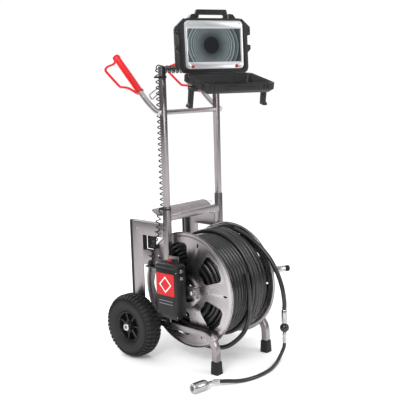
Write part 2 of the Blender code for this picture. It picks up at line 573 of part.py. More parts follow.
def cable_holder():
    """Camera holder on the right: bar, sleeve and clamp knob."""
    bm = block((0.1500, -0.2800, 0.339), (0.1550, -TUBE / 2 - GAP, 0.359))
    holder = add("camera_holder", mesh_of(bm, "camera_holder"), "brushed_steel", trolley)
    way = Vector((0.87, -0.50, 0)).normalized()
    start = Vector((0.160, -0.285, 0.349))
    ring = [(0.0110, -0.010), (0.0125, -0.008), (0.0125, 0.040)]
    combine(holder, turned(ring, way, start, 24), "holder_sleeve", "UNION")
    turn = empty("holder_knob_turn", start + way * 0.0403, trolley)
    knob = turned([(0.0115, 0.0), (0.0115, 0.017), (0.0095, 0.020)], way, sides=20)
    add("holder_knob", mesh_of(knob, "holder_knob"), "black_rubber", turn, smooth=True)


CABLE_ROUTE = [(0.100, -0.128, 0.5068), (0.101, -0.180, 0.4900), (0.103, -0.229, 0.4650), (0.105, -0.2675, 0.4375),
               (0.1055, -0.3032, 0.4029), (0.106, -0.3365, 0.3520), (0.108, -0.3572, 0.2965),
               (0.111, -0.3645, 0.2400), (0.1127, -0.3625, 0.2125)]
HOSE_ROUTE = [(0.1127, -0.3622, 0.0737), (0.1125, -0.3590, 0.0560), (0.1070, -0.3530, 0.0350),
              (0.0920, -0.3520, 0.0180), (0.0640, -0.3600, 0.0095), (0.0300, -0.3720, 0.0076),
              (-0.0104, -0.3830, 0.0075), (-0.0600, -0.3870, 0.0075), (-0.1051, -0.3840, 0.0075),
              (-0.1450, -0.3730, 0.0077), (-0.1776, -0.3580, 0.0100), (-0.2080, -0.3395, 0.0150),
              (-0.2320, -0.3230, 0.0172)]
HEAD_CENTRE, HEAD_L = (-0.3180, -0.2995, 0.0195), 0.062
SLACK_ROUTE = [(-0.018, -0.2812, 0.3700), (-0.020, -0.2945, 0.3100), (-0.022, -0.2960, 0.2450),
               (-0.028, -0.2960, 0.1930), (-0.033, -0.2790, 0.1430), (-0.038, -0.2390, 0.0970),
               (-0.045, -0.1950, 0.0660), (-0.055, -0.1450, 0.0560), (-0.062, -0.0800, 0.0570),
               (-0.066, -0.0200, 0.0800)]


def free_cable(spin):
    """Cable that leaves the reel: down to the skid ball, along the floor to the camera head."""
    tube("push_cable", smooth_path(CABLE_ROUTE, 0.024), CABLE_D, "cable_jacket", trolley)
    tube("camera_hose", smooth_path(HOSE_ROUTE, 0.024), HOSE_D, "cable_jacket", trolley)
    x, y = 0.1127, -0.3625
    steel = turned([(0.0100, 0.1553), (0.0115, 0.1600), (0.0115, 0.2050), (0.0095, 0.2100)], (0, 0, 1), (x, y, 0), 20)
    add("upper_ferrule", mesh_of(steel, "upper_ferrule"), "polished_steel", trolley, smooth=True)
    steel = turned([(0.0080, 0.0753), (0.0080, 0.1140), (0.0065, 0.1177)], (0, 0, 1), (x, y, 0), 16)
    add("lower_ferrule", mesh_of(steel, "lower_ferrule"), "polished_steel", trolley, smooth=True)
    start, head = Vector(HOSE_ROUTE[-1]), Vector(HEAD_CENTRE)
    way = (start - Vector(HOSE_ROUTE[-2])).normalized()
    steel = turned([(0.0078, 0.0012), (0.0080, 0.0240), (0.0060, 0.0260), (0.0060, 0.0280)], way, start, 16)
    add("head_ferrule", mesh_of(steel, "head_ferrule"), "polished_steel", trolley, smooth=True)
    ball = [(0.0185 * sin(a), 0.1365 - 0.0185 * cos(a)) for a in [pi * (k + 0.5) / 10 for k in range(10)]]
    add("skid_ball", mesh_of(turned(ball, (0, 0, 1), (x, y, 0), 20), "skid_ball"), "black_plastic", trolley,
        smooth=True)
    joint = start + way * 0.0280
    way = (head - joint).normalized()
    rear = (head - joint).length - HEAD_L / 2
    shell = [(0.0058, 0.0040), (0.0058, rear - 0.010), (0.0080, rear - 0.009), (0.0120, rear - 0.006),
             (0.0175, rear + 0.002), (0.0190, rear + 0.008), (0.0190, rear + HEAD_L - 0.004),
             (0.0170, rear + HEAD_L)]
    add("camera_head", mesh_of(turned(shell, way, joint, 24), "camera_head"), "polished_steel", trolley,
        smooth=True)
    offset = Vector((0, REEL_Y, REEL_Z))
    slack = [Vector(p) - offset for p in SLACK_ROUTE]
    tube("slack_turn", smooth_path(slack, 0.024), CABLE_D, "cable_jacket", spin)


side_frames()
side_plates()
accessory_tray()
wheels()
reel_body = reel()
control_box()
upper_body = upper_frame()
curly_cord(upper_body)
monitor(upper_body)
cable_holder()
free_cable(reel_body)
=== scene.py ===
import bmesh
import bpy
import json
from math import cos, pi, radians, sin
from mathutils import Matrix, Vector


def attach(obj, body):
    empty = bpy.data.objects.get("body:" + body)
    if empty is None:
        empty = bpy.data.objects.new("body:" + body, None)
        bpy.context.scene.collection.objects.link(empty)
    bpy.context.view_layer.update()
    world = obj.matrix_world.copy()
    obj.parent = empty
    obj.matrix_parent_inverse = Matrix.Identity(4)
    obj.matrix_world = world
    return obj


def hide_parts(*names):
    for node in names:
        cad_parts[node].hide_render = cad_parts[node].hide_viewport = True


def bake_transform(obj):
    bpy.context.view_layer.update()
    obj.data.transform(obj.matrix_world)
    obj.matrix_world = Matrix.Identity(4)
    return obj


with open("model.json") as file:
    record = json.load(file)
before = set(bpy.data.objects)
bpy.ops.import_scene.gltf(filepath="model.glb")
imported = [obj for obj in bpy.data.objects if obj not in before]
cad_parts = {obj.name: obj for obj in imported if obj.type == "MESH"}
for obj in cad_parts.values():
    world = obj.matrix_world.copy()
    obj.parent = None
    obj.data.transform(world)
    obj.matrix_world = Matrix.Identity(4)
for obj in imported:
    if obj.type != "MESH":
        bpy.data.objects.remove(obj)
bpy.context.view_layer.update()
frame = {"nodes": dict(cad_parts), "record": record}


# Camera and light. The viewpoint is low and far, in front of the trolley and to its left, and three
# square lamps light a white room. Places are measured from the plane of the uprights, and SHIFT takes
# that plane to where it stands in the frame.
def placed(name, data):
    """A new object in the scene."""
    made = bpy.data.objects.new(name, data)
    bpy.context.collection.objects.link(made)
    return made


def axes_at(place, *axes):
    """The matrix of a frame at a place, with three given axes."""
    return Matrix.Translation(place) @ Matrix(axes).transposed().to_4x4()


SHIFT = Vector((0, 0.043, 0))
EYE, LENS, SENSOR = Vector((-2.1587, -2.0319, 1.0941)), 67.07, 36.0
turn, dip, roll = radians(47.239), radians(8.984), radians(-1.6156)
ahead = Vector((sin(turn) * cos(dip), cos(turn) * cos(dip), -sin(dip)))
side = Vector((cos(turn), -sin(turn), 0))
over = side.cross(ahead)
right, up = cos(roll) * side + sin(roll) * over, cos(roll) * over - sin(roll) * side
camera = placed("camera", bpy.data.cameras.new("camera"))
camera.matrix_world = axes_at(EYE + SHIFT, right, up, -ahead)
camera.data.lens, camera.data.sensor_width = LENS, SENSOR
bpy.context.scene.camera = camera

for name, place, target, size, power in (("key_box", (-2.6, -1.2, 2.6), (0, 0, 0.6), 1.6, 60),
                                         ("fill_box", (1.2, -3.0, 1.6), (0, 0, 0.6), 1.4, 26),
                                         ("back_box", (0.8, 2.8, 2.4), (0, 0, 0.8), 1.6, 46)):
    lamp = placed(name, bpy.data.lights.new(name, "AREA"))
    lamp.data.size, lamp.data.energy = size, power
    lamp.location = place
    lamp.rotation_euler = (Vector(target) - Vector(place)).to_track_quat("-Z", "Y").to_euler()
bpy.context.scene.view_settings.view_transform = "Standard"


class Graph:
    """Adds nodes to one tree by type, settings and socket values."""

    def __init__(self, tree):
        self.tree = tree

    def node(self, kind, settings=None, out=0, **sockets):
        made = self.tree.nodes.new(kind)
        for key, value in (settings or {}).items():
            setattr(made, key, value)
        for key, value in sockets.items():
            self.feed(made.inputs[int(key[1:]) if key[1:].isdigit() else key.replace("_", " ")], value)
        return made.outputs[out]

    def feed(self, socket, value):
        if isinstance(value, Value):
            value = value.socket
        if isinstance(value, bpy.types.NodeSocket):
            self.tree.links.new(value, socket)
        elif value is not None:
            socket.default_value = value

    def value(self, kind, settings=None, out=0, **sockets):
        return Value(self, self.node(kind, settings, out, **sockets))

    def vector(self, operation, first, second=None, out=0, **sockets):
        return self.node("ShaderNodeVectorMath", {"operation": operation}, out, _0=first, _1=second,
                         **sockets)

    def split(self, vector):
        made = self.tree.nodes.new("ShaderNodeSeparateXYZ")
        self.feed(made.inputs[0], vector)
        return [Value(self, socket) for socket in made.outputs]


class Value:
    """A number socket on which Python's operators add Math nodes."""

    def __init__(self, graph, socket):
        self.graph, self.socket = graph, socket

    def math(self, operation, *others):
        sockets = {f"_{i}": v for i, v in enumerate((self, *others))}
        return self.graph.value("ShaderNodeMath", {"operation": operation}, **sockets)

    def __add__(self, other):
        return self.math("ADD", other)

    def __sub__(self, other):
        return self.math("SUBTRACT", other)

    def __rsub__(self, other):
        return (self * -1.0) + other

    def __mul__(self, other):
        return self.math("MULTIPLY", other)

    def __truediv__(self, other):
        return self.math("DIVIDE", other)

    def __rtruediv__(self, other):
        return self.math("POWER", -1.0) * other

    __radd__, __rmul__ = __add__, __mul__

    def between(self, low, high):
        """1 where the value lies between low and high."""
        return self.math("GREATER_THAN", low) * self.math("LESS_THAN", high)

    def ramp(self, low, high, floor=0.0, top=1.0):
        """The value's part of low to high, spread over floor to top."""
        return self.graph.value("ShaderNodeMapRange", _0=self, _1=low, _2=high, _3=floor, _4=top)


# The room is white to the eye and as soft light. What metal mirrors in it is a pale ceiling over
# darker walls, with a bright strip on either side.
ROOM_LIGHT = 1.02
world = bpy.data.worlds.new("studio")
world.use_nodes = True
graph = Graph(world.node_tree)
sky = world.node_tree.nodes["Background"]
sky.inputs["Color"].default_value = (1, 1, 1, 1)
x, y, z = graph.split(graph.node("ShaderNodeTexCoord", out=0))
strips = (y.math("ARCTAN2", x) * 2.0 + 0.5).math("SINE").ramp(0.1, 0.9)
mirrored = z.ramp(0.05, 0.75, 0.10, 0.95) + strips * z.ramp(-0.2, 0.9, 0.62, 0.0)
is_glossy = Value(graph, graph.node("ShaderNodeLightPath", out=3))
graph.feed(sky.inputs["Strength"], mirrored * is_glossy + (1.0 - is_glossy) * ROOM_LIGHT)
bpy.context.scene.world = world

# Push cable. A stiff glass-fibre rod in a smooth black jacket. It leaves the top of the reel, bends
# over the front and goes down to a skid ball; the thinner hose below lies on the floor and ends at
# the camera head. One slack turn hangs under the reel.
CABLE_D, HOSE_D = 0.0175, 0.0145
CABLE_ROUTE = [(0.100, -0.128, 0.5068), (0.101, -0.180, 0.4900), (0.103, -0.229, 0.4650),
               (0.105, -0.2675, 0.4375), (0.1055, -0.3032, 0.4029), (0.106, -0.3365, 0.3520),
               (0.108, -0.3572, 0.2965), (0.111, -0.3645, 0.2400), (0.1127, -0.3625, 0.2125)]
HOSE_ROUTE = [(0.1127, -0.3622, 0.0737), (0.1125, -0.3590, 0.0560), (0.1070, -0.3530, 0.0350),
              (0.0920, -0.3520, 0.0180), (0.0640, -0.3600, 0.0095), (0.0300, -0.3720, 0.0076),
              (-0.0104, -0.3830, 0.0075), (-0.0600, -0.3870, 0.0075), (-0.1051, -0.3840, 0.0075),
              (-0.1450, -0.3730, 0.0077), (-0.1776, -0.3580, 0.0100), (-0.2080, -0.3395, 0.0150),
              (-0.2320, -0.3230, 0.0172)]
SLACK_ROUTE = [(-0.018, -0.2812, 0.3700), (-0.020, -0.2945, 0.3100), (-0.022, -0.2960, 0.2450),
               (-0.028, -0.2960, 0.1930), (-0.033, -0.2790, 0.1430), (-0.038, -0.2390, 0.0970),
               (-0.045, -0.1950, 0.0660), (-0.055, -0.1450, 0.0560), (-0.062, -0.0800, 0.0570),
               (-0.066, -0.0200, 0.0800)]


def finish_of(name, colour, roughness, metallic=0.0, **fixed):
    """A new material: the material, its graph, its shader and its Object coordinates."""
    made = bpy.data.materials.new(name)
    made.use_nodes = True
    graph = Graph(made.node_tree)
    shader = made.node_tree.nodes["Principled BSDF"]
    shader.inputs["Base Color"].default_value = (*colour, 1)
    shader.inputs["Roughness"].default_value = roughness
    shader.inputs["Metallic"].default_value = metallic
    for key, value in fixed.items():
        shader.inputs[key.replace("_", " ")].default_value = value
    return made, graph, shader, graph.node("ShaderNodeTexCoord", out=3)


def noise(graph, coords, scale, detail=3.0, stretch=(1, 1, 1), rough=0.55):
    """Noise on stretched coordinates, about 0.25 to 0.75."""
    spread = graph.node("ShaderNodeMapping", Vector=coords, Scale=stretch)
    return graph.value("ShaderNodeTexNoise", Vector=spread, Scale=scale, Detail=detail, Roughness=rough)


def tint(graph, factor, dark, light):
    """A colour between two, each three numbers or a socket, by a factor."""
    dark, light = ((*colour, 1) if isinstance(colour, tuple) else colour for colour in (dark, light))
    return graph.node("ShaderNodeMix", {"data_type": "RGBA"}, out=2, _0=factor, _6=dark, _7=light)


def bump(graph, shader, height, strength, distance):
    """Relief on the shader from a height value."""
    normal = graph.node("ShaderNodeBump", Height=height, Strength=strength, Distance=distance)
    graph.feed(shader.inputs["Normal"], normal)


def moulded(name, dark, light, roughness, grain, depth, coat=0.0, sheen=0.35):
    """Moulded plastic or rubber: a fine grain, dust in patches and a softly varying gloss."""
    made, graph, shader, coords = finish_of(name, dark, roughness, Coat_Weight=coat,
                                            Specular_IOR_Level=sheen)
    patches = noise(graph, coords, 9.0, 4.0)
    fine = noise(graph, coords, grain, 2.0)
    graph.feed(shader.inputs["Base Color"], tint(graph, patches.ramp(0.35, 0.7), dark, light))
    graph.feed(shader.inputs["Roughness"], patches.ramp(0.3, 0.7, roughness - 0.07, roughness + 0.07))
    bump(graph, shader, fine, 0.35, depth)
    return made


def piece(name, mesh, material, body, stands_for=(), sharp=35, shifted=True):
    """Link a finished mesh as one piece that rides on a body; without a material it keeps its own."""
    if shifted:
        mesh.transform(Matrix.Translation(SHIFT))
    if material:
        mesh.materials.clear()
        mesh.materials.append(material)
    mesh.shade_smooth()
    mesh.set_sharp_from_angle(angle=radians(sharp))
    made = placed(name, mesh)
    if body:
        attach(made, body)
    if stands_for:
        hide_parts(*stands_for)
    return made


def smooth_path(points, spacing):
    """Evenly spaced points of a smooth curve through the given ones."""
    pts = [Vector(p) for p in points]
    pts = [2 * pts[0] - pts[1]] + pts + [2 * pts[-1] - pts[-2]]
    fine, cuts = [], 24
    for a, b, c, d in zip(pts, pts[1:], pts[2:], pts[3:]):
        for t in (k / cuts for k in range(cuts)):
            fine.append(0.5 * (2 * b + (c - a) * t + (2 * a - 5 * b + 4 * c - d) * t * t
                               + (3 * b - a - 3 * c + d) * t ** 3))
    fine.append(pts[-2])
    lengths = [(b - a).length for a, b in zip(fine, fine[1:])]
    count = max(2, round(sum(lengths) / spacing))
    out, walked, goal = [fine[0]], 0.0, sum(lengths) / count
    for a, b, step in zip(fine, fine[1:], lengths):
        while len(out) < count and walked + step >= goal * len(out) - 1e-9:
            out.append(a.lerp(b, (goal * len(out) - walked) / step))
        walked += step
    out.append(fine[-1])
    return out


def node_tool(name, **inputs):
    """A geometry tree with named inputs: its graph, the sockets of its inputs and its output socket."""
    tree = bpy.data.node_groups.new(name, "GeometryNodeTree")
    for label, kind in {"Geometry": "Geometry", **inputs, "Material": "Material"}.items():
        tree.interface.new_socket(label, in_out="INPUT", socket_type=f"NodeSocket{kind}")
    tree.interface.new_socket("Geometry", in_out="OUTPUT", socket_type="NodeSocketGeometry")
    start, end = tree.nodes.new("NodeGroupInput"), tree.nodes.new("NodeGroupOutput")
    return Graph(tree), start.outputs, end.inputs[0]


def end_tool(graph, result, shape, material):
    """End a tree with real geometry in one material, and return the tree."""
    real = graph.node("GeometryNodeRealizeInstances", Geometry=shape)
    graph.feed(result, graph.node("GeometryNodeSetMaterial", Geometry=real, Material=material))
    return graph.tree


def evaluated_mesh(host):
    """What an object's modifiers make of it, as a plain mesh."""
    seen = bpy.context.evaluated_depsgraph_get()
    return bpy.data.meshes.new_from_object(host.evaluated_get(seen), depsgraph=seen)


def run_tool(tree, mesh, name, **values):
    """Run a geometry tree on a mesh and keep the result as a plain mesh."""
    host = placed(name, mesh)
    made = host.modifiers.new("tool", "NODES")
    made.node_group = tree
    labels = {s.name: s.identifier for s in tree.interface.items_tree if s.in_out == "INPUT"}
    for key, value in values.items():
        made[labels[key]] = value
    done = evaluated_mesh(host)
    bpy.data.objects.remove(host)
    return done


def dotted(name, points, linked=False):
    """Points as a mesh; linked ones form a line."""
    mesh = bpy.data.meshes.new(name)
    edges = [(i, i + 1) for i in range(len(points) - 1)] if linked else []
    mesh.from_pydata([tuple(p) for p in points], edges, [])
    return mesh


jacket = moulded("cable_jacket", (0.005, 0.005, 0.006), (0.014, 0.014, 0.015), roughness=0.30, grain=420.0,
                 depth=0.0001, coat=0.15, sheen=0.5)
graph, given, result = node_tool("pipe", Radius="Float", Sides="Int")
line = graph.node("GeometryNodeMeshToCurve", Mesh=given["Geometry"])
circle = graph.node("GeometryNodeCurvePrimitiveCircle", Radius=given["Radius"], Resolution=given["Sides"])
swept = graph.node("GeometryNodeCurveToMesh", Curve=line, Profile_Curve=circle, Fill_Caps=True)
PIPE = end_tool(graph, result, swept, given["Material"])


def pipe(name, path, radius, sides, material):
    """A round rod along a path."""
    return run_tool(PIPE, dotted(name, path, True), name, Radius=radius, Sides=sides, Material=material)


# Camera head. A turned stainless body on a ferrule, with a dark glass window in its front. Two more
# ferrules close the cable and the hose, and the skid ball between them keeps to the pipe's middle.
def metal(name, dark, light, roughness, stretch, grain=60.0, depth=0.00012):
    """Brushed metal: fine scratches drawn out along one direction, over broad soft stains."""
    made, graph, shader, coords = finish_of(name, light, roughness, metallic=1.0)
    lines = noise(graph, coords, grain, 4.0, stretch, 0.7)
    stains = noise(graph, coords, 6.0, 3.0)
    wear = lines * 0.6 + stains * 0.4
    graph.feed(shader.inputs["Base Color"], tint(graph, wear.ramp(0.32, 0.68), dark, light))
    graph.feed(shader.inputs["Roughness"], wear.ramp(0.35, 0.65, roughness - 0.08, roughness + 0.10))
    bump(graph, shader, lines, 0.25, depth)
    return made


def loft(rings, closed=False, bm=None):
    """Skin a row of equal rings; the ends are capped, or joined to each other."""
    bm = bm or bmesh.new()
    rows = [[bm.verts.new(p) for p in ring] for ring in rings]
    pairs = list(zip(rows, rows[1:])) + ([(rows[-1], rows[0])] if closed else [])
    for low, high in pairs:
        for i in range(len(low)):
            j = (i + 1) % len(low)
            bm.faces.new((low[i], low[j], high[j], high[i]))
    if not closed:
        bm.faces.new(rows[0])
        bm.faces.new(rows[-1])
    return bm


def aimed(direction, centre=(0, 0, 0)):
    """The matrix that takes +Z to a direction and the origin to a centre."""
    swing = Vector((0, 0, 1)).rotation_difference(Vector(direction))
    return Matrix.Translation(centre) @ swing.to_matrix().to_4x4()


def turned(profile, axis=(0, 0, 1), centre=(0, 0, 0), sides=48, closed=False, bm=None):
    """Turn (radius, height along the axis) points about an axis."""
    place = aimed(axis, centre)
    angles = [2 * pi * (i + 0.5) / sides for i in range(sides)]
    return loft([[place @ Vector((radius * cos(a), radius * sin(a), height)) for a in angles]
                 for radius, height in profile], closed, bm)


def mesh_of(bm, name):
    """A bmesh as a mesh with its faces outwards."""
    bmesh.ops.recalc_face_normals(bm, faces=bm.faces)
    mesh = bpy.data.meshes.new(name)
    bm.to_mesh(mesh)
    bm.free()
    return mesh


def refined(node, material, edge=0.0012):
    """A CAD solid as a merged copy with its sharp edges rounded, which stands for the node."""
    merge, flat, keen = 0.00002, radians(1.5), radians(30)
    bm = bmesh.new()
    bm.from_mesh(frame["nodes"][node].data)
    bmesh.ops.remove_doubles(bm, verts=bm.verts, dist=merge)
    bmesh.ops.dissolve_limit(bm, angle_limit=flat, verts=bm.verts, edges=bm.edges)
    if edge:
        corners = [e for e in bm.edges if len(e.link_faces) == 2 and e.calc_face_angle(0) > keen]
        bmesh.ops.bevel(bm, geom=corners, offset=edge, offset_type="OFFSET", segments=2, profile=0.5,
                        affect="EDGES", clamp_overlap=True)
    body = next(b for b, nodes in frame["record"]["behaviour"]["bodies"].items() if node in nodes)
    return piece(f"{node}_shell", mesh_of(bm, node), material, body, [node], shifted=False)


shiny = metal("turned_steel", (0.36, 0.35, 0.35), (0.60, 0.585, 0.585), roughness=0.17,
              stretch=(1, 1, 1), grain=30.0, depth=0.00003)
ball_black = moulded("ball_black", (0.006, 0.006, 0.007), (0.016, 0.016, 0.017), roughness=0.18,
                     grain=200.0, depth=0.00005, coat=0.4)
for node in ("upper_ferrule", "lower_ferrule", "head_ferrule"):
    refined(node, shiny, edge=0.0005)
refined("skid_ball", ball_black, edge=0)
refined("camera_head", shiny, edge=0.0005)
HEAD_CENTRE, HEAD_HALF = Vector((-0.3180, -0.2995, 0.0195)), 0.0310
WINDOW = [(0.0002, -0.0010), (0.0110, -0.0010), (0.0110, 0.0008), (0.0060, 0.0014), (0.0002, 0.0016)]
nose = (HEAD_CENTRE - Vector(HOSE_ROUTE[-1])).normalized()
glass, graph, shader, coords = finish_of("camera_glass", (0.01, 0.012, 0.015), 0.05, Coat_Weight=0.6)
graph.feed(shader.inputs["Roughness"], noise(graph, coords, 60.0).ramp(0.3, 0.7, 0.03, 0.09))
piece("camera_window", mesh_of(turned(WINDOW, nose, HEAD_CENTRE + nose * HEAD_HALF, sides=40), "window"),
      glass, "trolley")

# Free runs. The three lengths of cable that hang free are swept along their routes. Each row gives a name, a
# route, a width, the body it rides on, a kind of end and the ferrules, ball and head it carries; the kind of
# end and the carried pieces are not used.
HOSE_PIECES = ["lower_ferrule_shell", "head_ferrule_shell", "camera_head_shell", "camera_window"]
for name, route, width, body, end, extras in (
        ("push_cable_run", CABLE_ROUTE, CABLE_D, "trolley", "fitting",
         ["upper_ferrule_shell", "skid_ball_shell"]),
        ("camera_hose_run", HOSE_ROUTE, HOSE_D, "trolley", "tool", HOSE_PIECES),
        ("slack_turn_run", SLACK_ROUTE, CABLE_D, "reel", "object", [])):
    path = smooth_path(route, 0.008)
    made = piece(name, pipe(name, path, width / 2, 20, jacket), None, body,
                 [name.removesuffix("_run")])
    path = [p + SHIFT for p in path]
    length = sum((b - a).length for a, b in zip(path, path[1:]))

# Lower frame. Square stainless tube, sawn, bent and welded: the side tubes run from the wheels into
# the front legs, and the uprights stand on them. Sheet side plates and rubber caps finish it.
STEEL_DARK, STEEL_LIGHT, STEEL_GLOSS = (0.235, 0.212, 0.220), (0.42, 0.385, 0.395), 0.27
steel_z = metal("brushed_steel_upright", STEEL_DARK, STEEL_LIGHT, STEEL_GLOSS, (14, 14, 0.35))
steel_y = metal("brushed_steel_length", STEEL_DARK, STEEL_LIGHT, STEEL_GLOSS, (14, 0.35, 14))
steel_x = metal("brushed_steel_cross", STEEL_DARK, STEEL_LIGHT, STEEL_GLOSS, (0.35, 14, 14))
plate_steel = metal("brushed_plate", (0.25, 0.228, 0.236), (0.40, 0.368, 0.378), 0.34, (10, 10, 0.5))
rubber = moulded("foot_rubber", (0.006, 0.006, 0.006), (0.017, 0.017, 0.017), roughness=0.68, grain=300.0,
                 depth=0.0004)
plastic = moulded("black_plastic", (0.004, 0.004, 0.005), (0.011, 0.011, 0.012), roughness=0.42,
                  grain=650.0, depth=0.0002)
for word in ("left", "right"):
    refined(f"side_tube_{word}", steel_y)
    refined(f"foot_cap_{word}", rubber, edge=0.0016)
    refined(f"side_plate_{word}", plate_steel, edge=0.0008)
    refined(f"skid_strip_{word}", rubber, edge=0.0015)
    refined(f"reel_arm_{word}", steel_y)
refined("lower_frame", steel_z, edge=0.0010)

# Accessory tray. One thin stainless sheet, rolled to a shallow curve that rises to the back, with a
# rounded left end; two welded tabs hold it on the cross bar.
TRAY_LEFT, TRAY_RIGHT, TRAY_NOSE, TRAY_STEPS, NOSE_STEPS = -0.1460, 0.1480, 0.026, 32, 12
TRAY_Y, TRAY_HALF, TRAY_Z, TRAY_RISE, TRAY_LIP, TRAY_T = 0.0575, 0.0230, 0.5785, 0.024, 0.0030, 0.0022
rings = []
for k in range(-NOSE_STEPS, TRAY_STEPS + 1):
    x, spread = TRAY_LEFT + (TRAY_RIGHT - TRAY_LEFT) * k / TRAY_STEPS, 1.0
    if k < 0:
        reach = TRAY_NOSE * sin(pi / 2 * -k / NOSE_STEPS)
        x, spread = TRAY_LEFT - reach, max(0.03, (1 - (reach / 0.0262) ** 2) ** 0.5)
    row = []
    for t in (-spread + spread * j / 8 for j in range(17)):
        lip = TRAY_LIP * max(0.0, abs(t) - 0.86) / 0.14
        row.append((x, TRAY_Y + TRAY_HALF * t, TRAY_Z + TRAY_RISE * sin((t + 1) / 2 * pi * 0.62) + lip))
    rings.append(row + [(x, y, z - TRAY_T) for x, y, z in reversed(row)])
bm = loft(rings)
for x in (-0.095, 0.095):
    bmesh.ops.create_cube(bm, size=1.0, matrix=Matrix.Translation((x, 0.0264, 0.57525)) @ Matrix.Diagonal(
        (0.024, 0.0272, 0.0045, 1.0)))
piece("tray_sheet", mesh_of(bm, "tray"), steel_x, "trolley", ["accessory_tray"], sharp=50)
refined("terminal_block", plastic)
refined("box_hanger", plate_steel, edge=0.0006)
refined("camera_holder", shiny, edge=0.0008)

# Upper frame and handles. The thinner tube slides in the lower uprights. The handles are one bent
# round tube on each side with a red moulded grip and hand guard, and a wire hook is on the left.
refined("upper_frame", steel_z, edge=0.0010)
refined("swivel_arm", plastic)
refined("swivel_bracket", plastic)
red = moulded("red_grip", (0.50, 0.002, 0.004), (0.66, 0.004, 0.008), roughness=0.26, grain=380.0,
              depth=0.0001, coat=0.15)
HANDLE_X, HANDLE_R, GRIP_R, GUARD_R, HOOK_X, HOOK_R = 0.1752, 0.011, 0.0135, 0.0050, -0.1393, 0.0027
foot, head = Vector((0.099, 1.062)), Vector((0.229, 1.197))
way = (head - foot).normalized()
down = Vector((way.y, -way.x))
GRIP_L = (head - foot).length
bend = [(-0.004, 0.9820), (0.012, 0.9880), (0.0275, 0.998), (0.062, 1.0255), tuple(foot), tuple(head)]
profile = [(0.0113, 0.0), (GRIP_R + 0.0008, 0.0), (GRIP_R + 0.0018, 0.0010), (GRIP_R + 0.0018, 0.0060),
           (GRIP_R + 0.0006, 0.0085), (GRIP_R - 0.0002, 0.0110), (GRIP_R + 0.0004, GRIP_L / 2),
           (GRIP_R - 0.0002, GRIP_L - 0.010), (GRIP_R + 0.0008, GRIP_L - 0.007),
           (GRIP_R + 0.0018, GRIP_L - 0.004), (GRIP_R + 0.0018, GRIP_L + 0.003),
           (GRIP_R + 0.0006, GRIP_L + 0.0055), (GRIP_R - 0.003, GRIP_L + 0.007), (0.004, GRIP_L + 0.0075)]
top = foot + way * (GRIP_L - 0.003) + down * (GRIP_R - 0.0005)
low = foot + way * 0.0065 + down * (GRIP_R - 0.0008)
guard = [top, top + down * 0.016, (0.283, 1.166), (0.2975, 1.157), (0.297, 1.148), (0.286, 1.138),
         (0.222, 1.089), (0.207, 1.0835), (0.190, 1.082), (0.160, 1.076), low + down * 0.002]
for word, x in (("left", -HANDLE_X), ("right", HANDLE_X)):
    path = smooth_path([(x, y, z) for y, z in bend], 0.006)
    piece(f"handle_bend_{word}", pipe("handle", path, HANDLE_R, 32, shiny), None, "upper_frame",
          [f"handle_tube_{word}"])
    grip = mesh_of(turned(profile, (0, *way), (x, *foot), sides=40), "grip")
    bm = bmesh.new()
    bm.from_mesh(grip)
    bm.from_mesh(pipe("guard", smooth_path([(x, *p) for p in guard], 0.005), GUARD_R, 20, red))
    piece(f"red_grip_{word}", mesh_of(bm, "grip"), red, "upper_frame", [f"grip_{word}"])
hook = [(-0.004, 1.0950), (0.020, 1.0855), (0.080, 1.0550), (0.0865, 1.0500), (0.0840, 1.0440),
        (0.0760, 1.0360), (0.0690, 1.0360), (0.020, 1.0640), (-0.004, 1.0740)]
path = smooth_path([(HOOK_X, y, z) for y, z in hook], 0.003)
piece("cable_hook_wire", pipe("hook", path, HOOK_R, 12, steel_z), None, "upper_frame",
      ["cable_hook"])

# Wheels. Pneumatic tyres with rows of tread blocks on moulded black rims. A ring tool repeats one
# block around the axle for the tread, the side lugs and ribs, and the spokes.
graph, given, result = node_tool("ring", Count="Int", Radius="Float", Phase="Float", Height="Float")
dots = graph.node("GeometryNodeMeshCircle", Vertices=given["Count"], Radius=1.0)
step = graph.value("GeometryNodeInputIndex") * (2 * pi)
angle = step / Value(graph, given["Count"]) + Value(graph, given["Phase"])
radius = Value(graph, given["Radius"])
spot = graph.node("ShaderNodeCombineXYZ", X=angle.math("COSINE") * radius, Y=angle.math("SINE") * radius,
                  Z=given["Height"])
moved = graph.node("GeometryNodeSetPosition", Geometry=dots, Position=spot)
spun = graph.node("FunctionNodeEulerToRotation", Euler=graph.node("ShaderNodeCombineXYZ", Z=angle))
copies = graph.node("GeometryNodeInstanceOnPoints", Points=moved, Instance=given["Geometry"], Rotation=spun)
RING = end_tool(graph, result, copies, given["Material"])


def ringed(name, mesh, count, radius, height, material, phase=0.0):
    """A mesh repeated around an axle; the phase turns the whole ring."""
    return run_tool(RING, mesh, name, Count=count, Radius=radius, Phase=phase, Height=height,
                    Material=material)


def block(size, bevel, lean=0.0):
    """A block with its edges cut back, which leans to one side of the wheel."""
    bm = bmesh.new()
    bmesh.ops.create_cube(bm, size=1.0, matrix=Matrix.Diagonal((*size, 1.0)))
    bmesh.ops.bevel(bm, geom=bm.edges[:], offset=bevel, segments=1, profile=0.5, affect="EDGES")
    mesh = mesh_of(bm, "block")
    mesh.transform(Matrix.Rotation(radians(lean), 4, "Y"))
    return mesh


def joined(meshes, name, place):
    """Several meshes as one, turned and moved together."""
    bm = bmesh.new()
    for mesh in meshes:
        bm.from_mesh(mesh)
    bmesh.ops.transform(bm, matrix=place, verts=bm.verts)
    return mesh_of(bm, name)


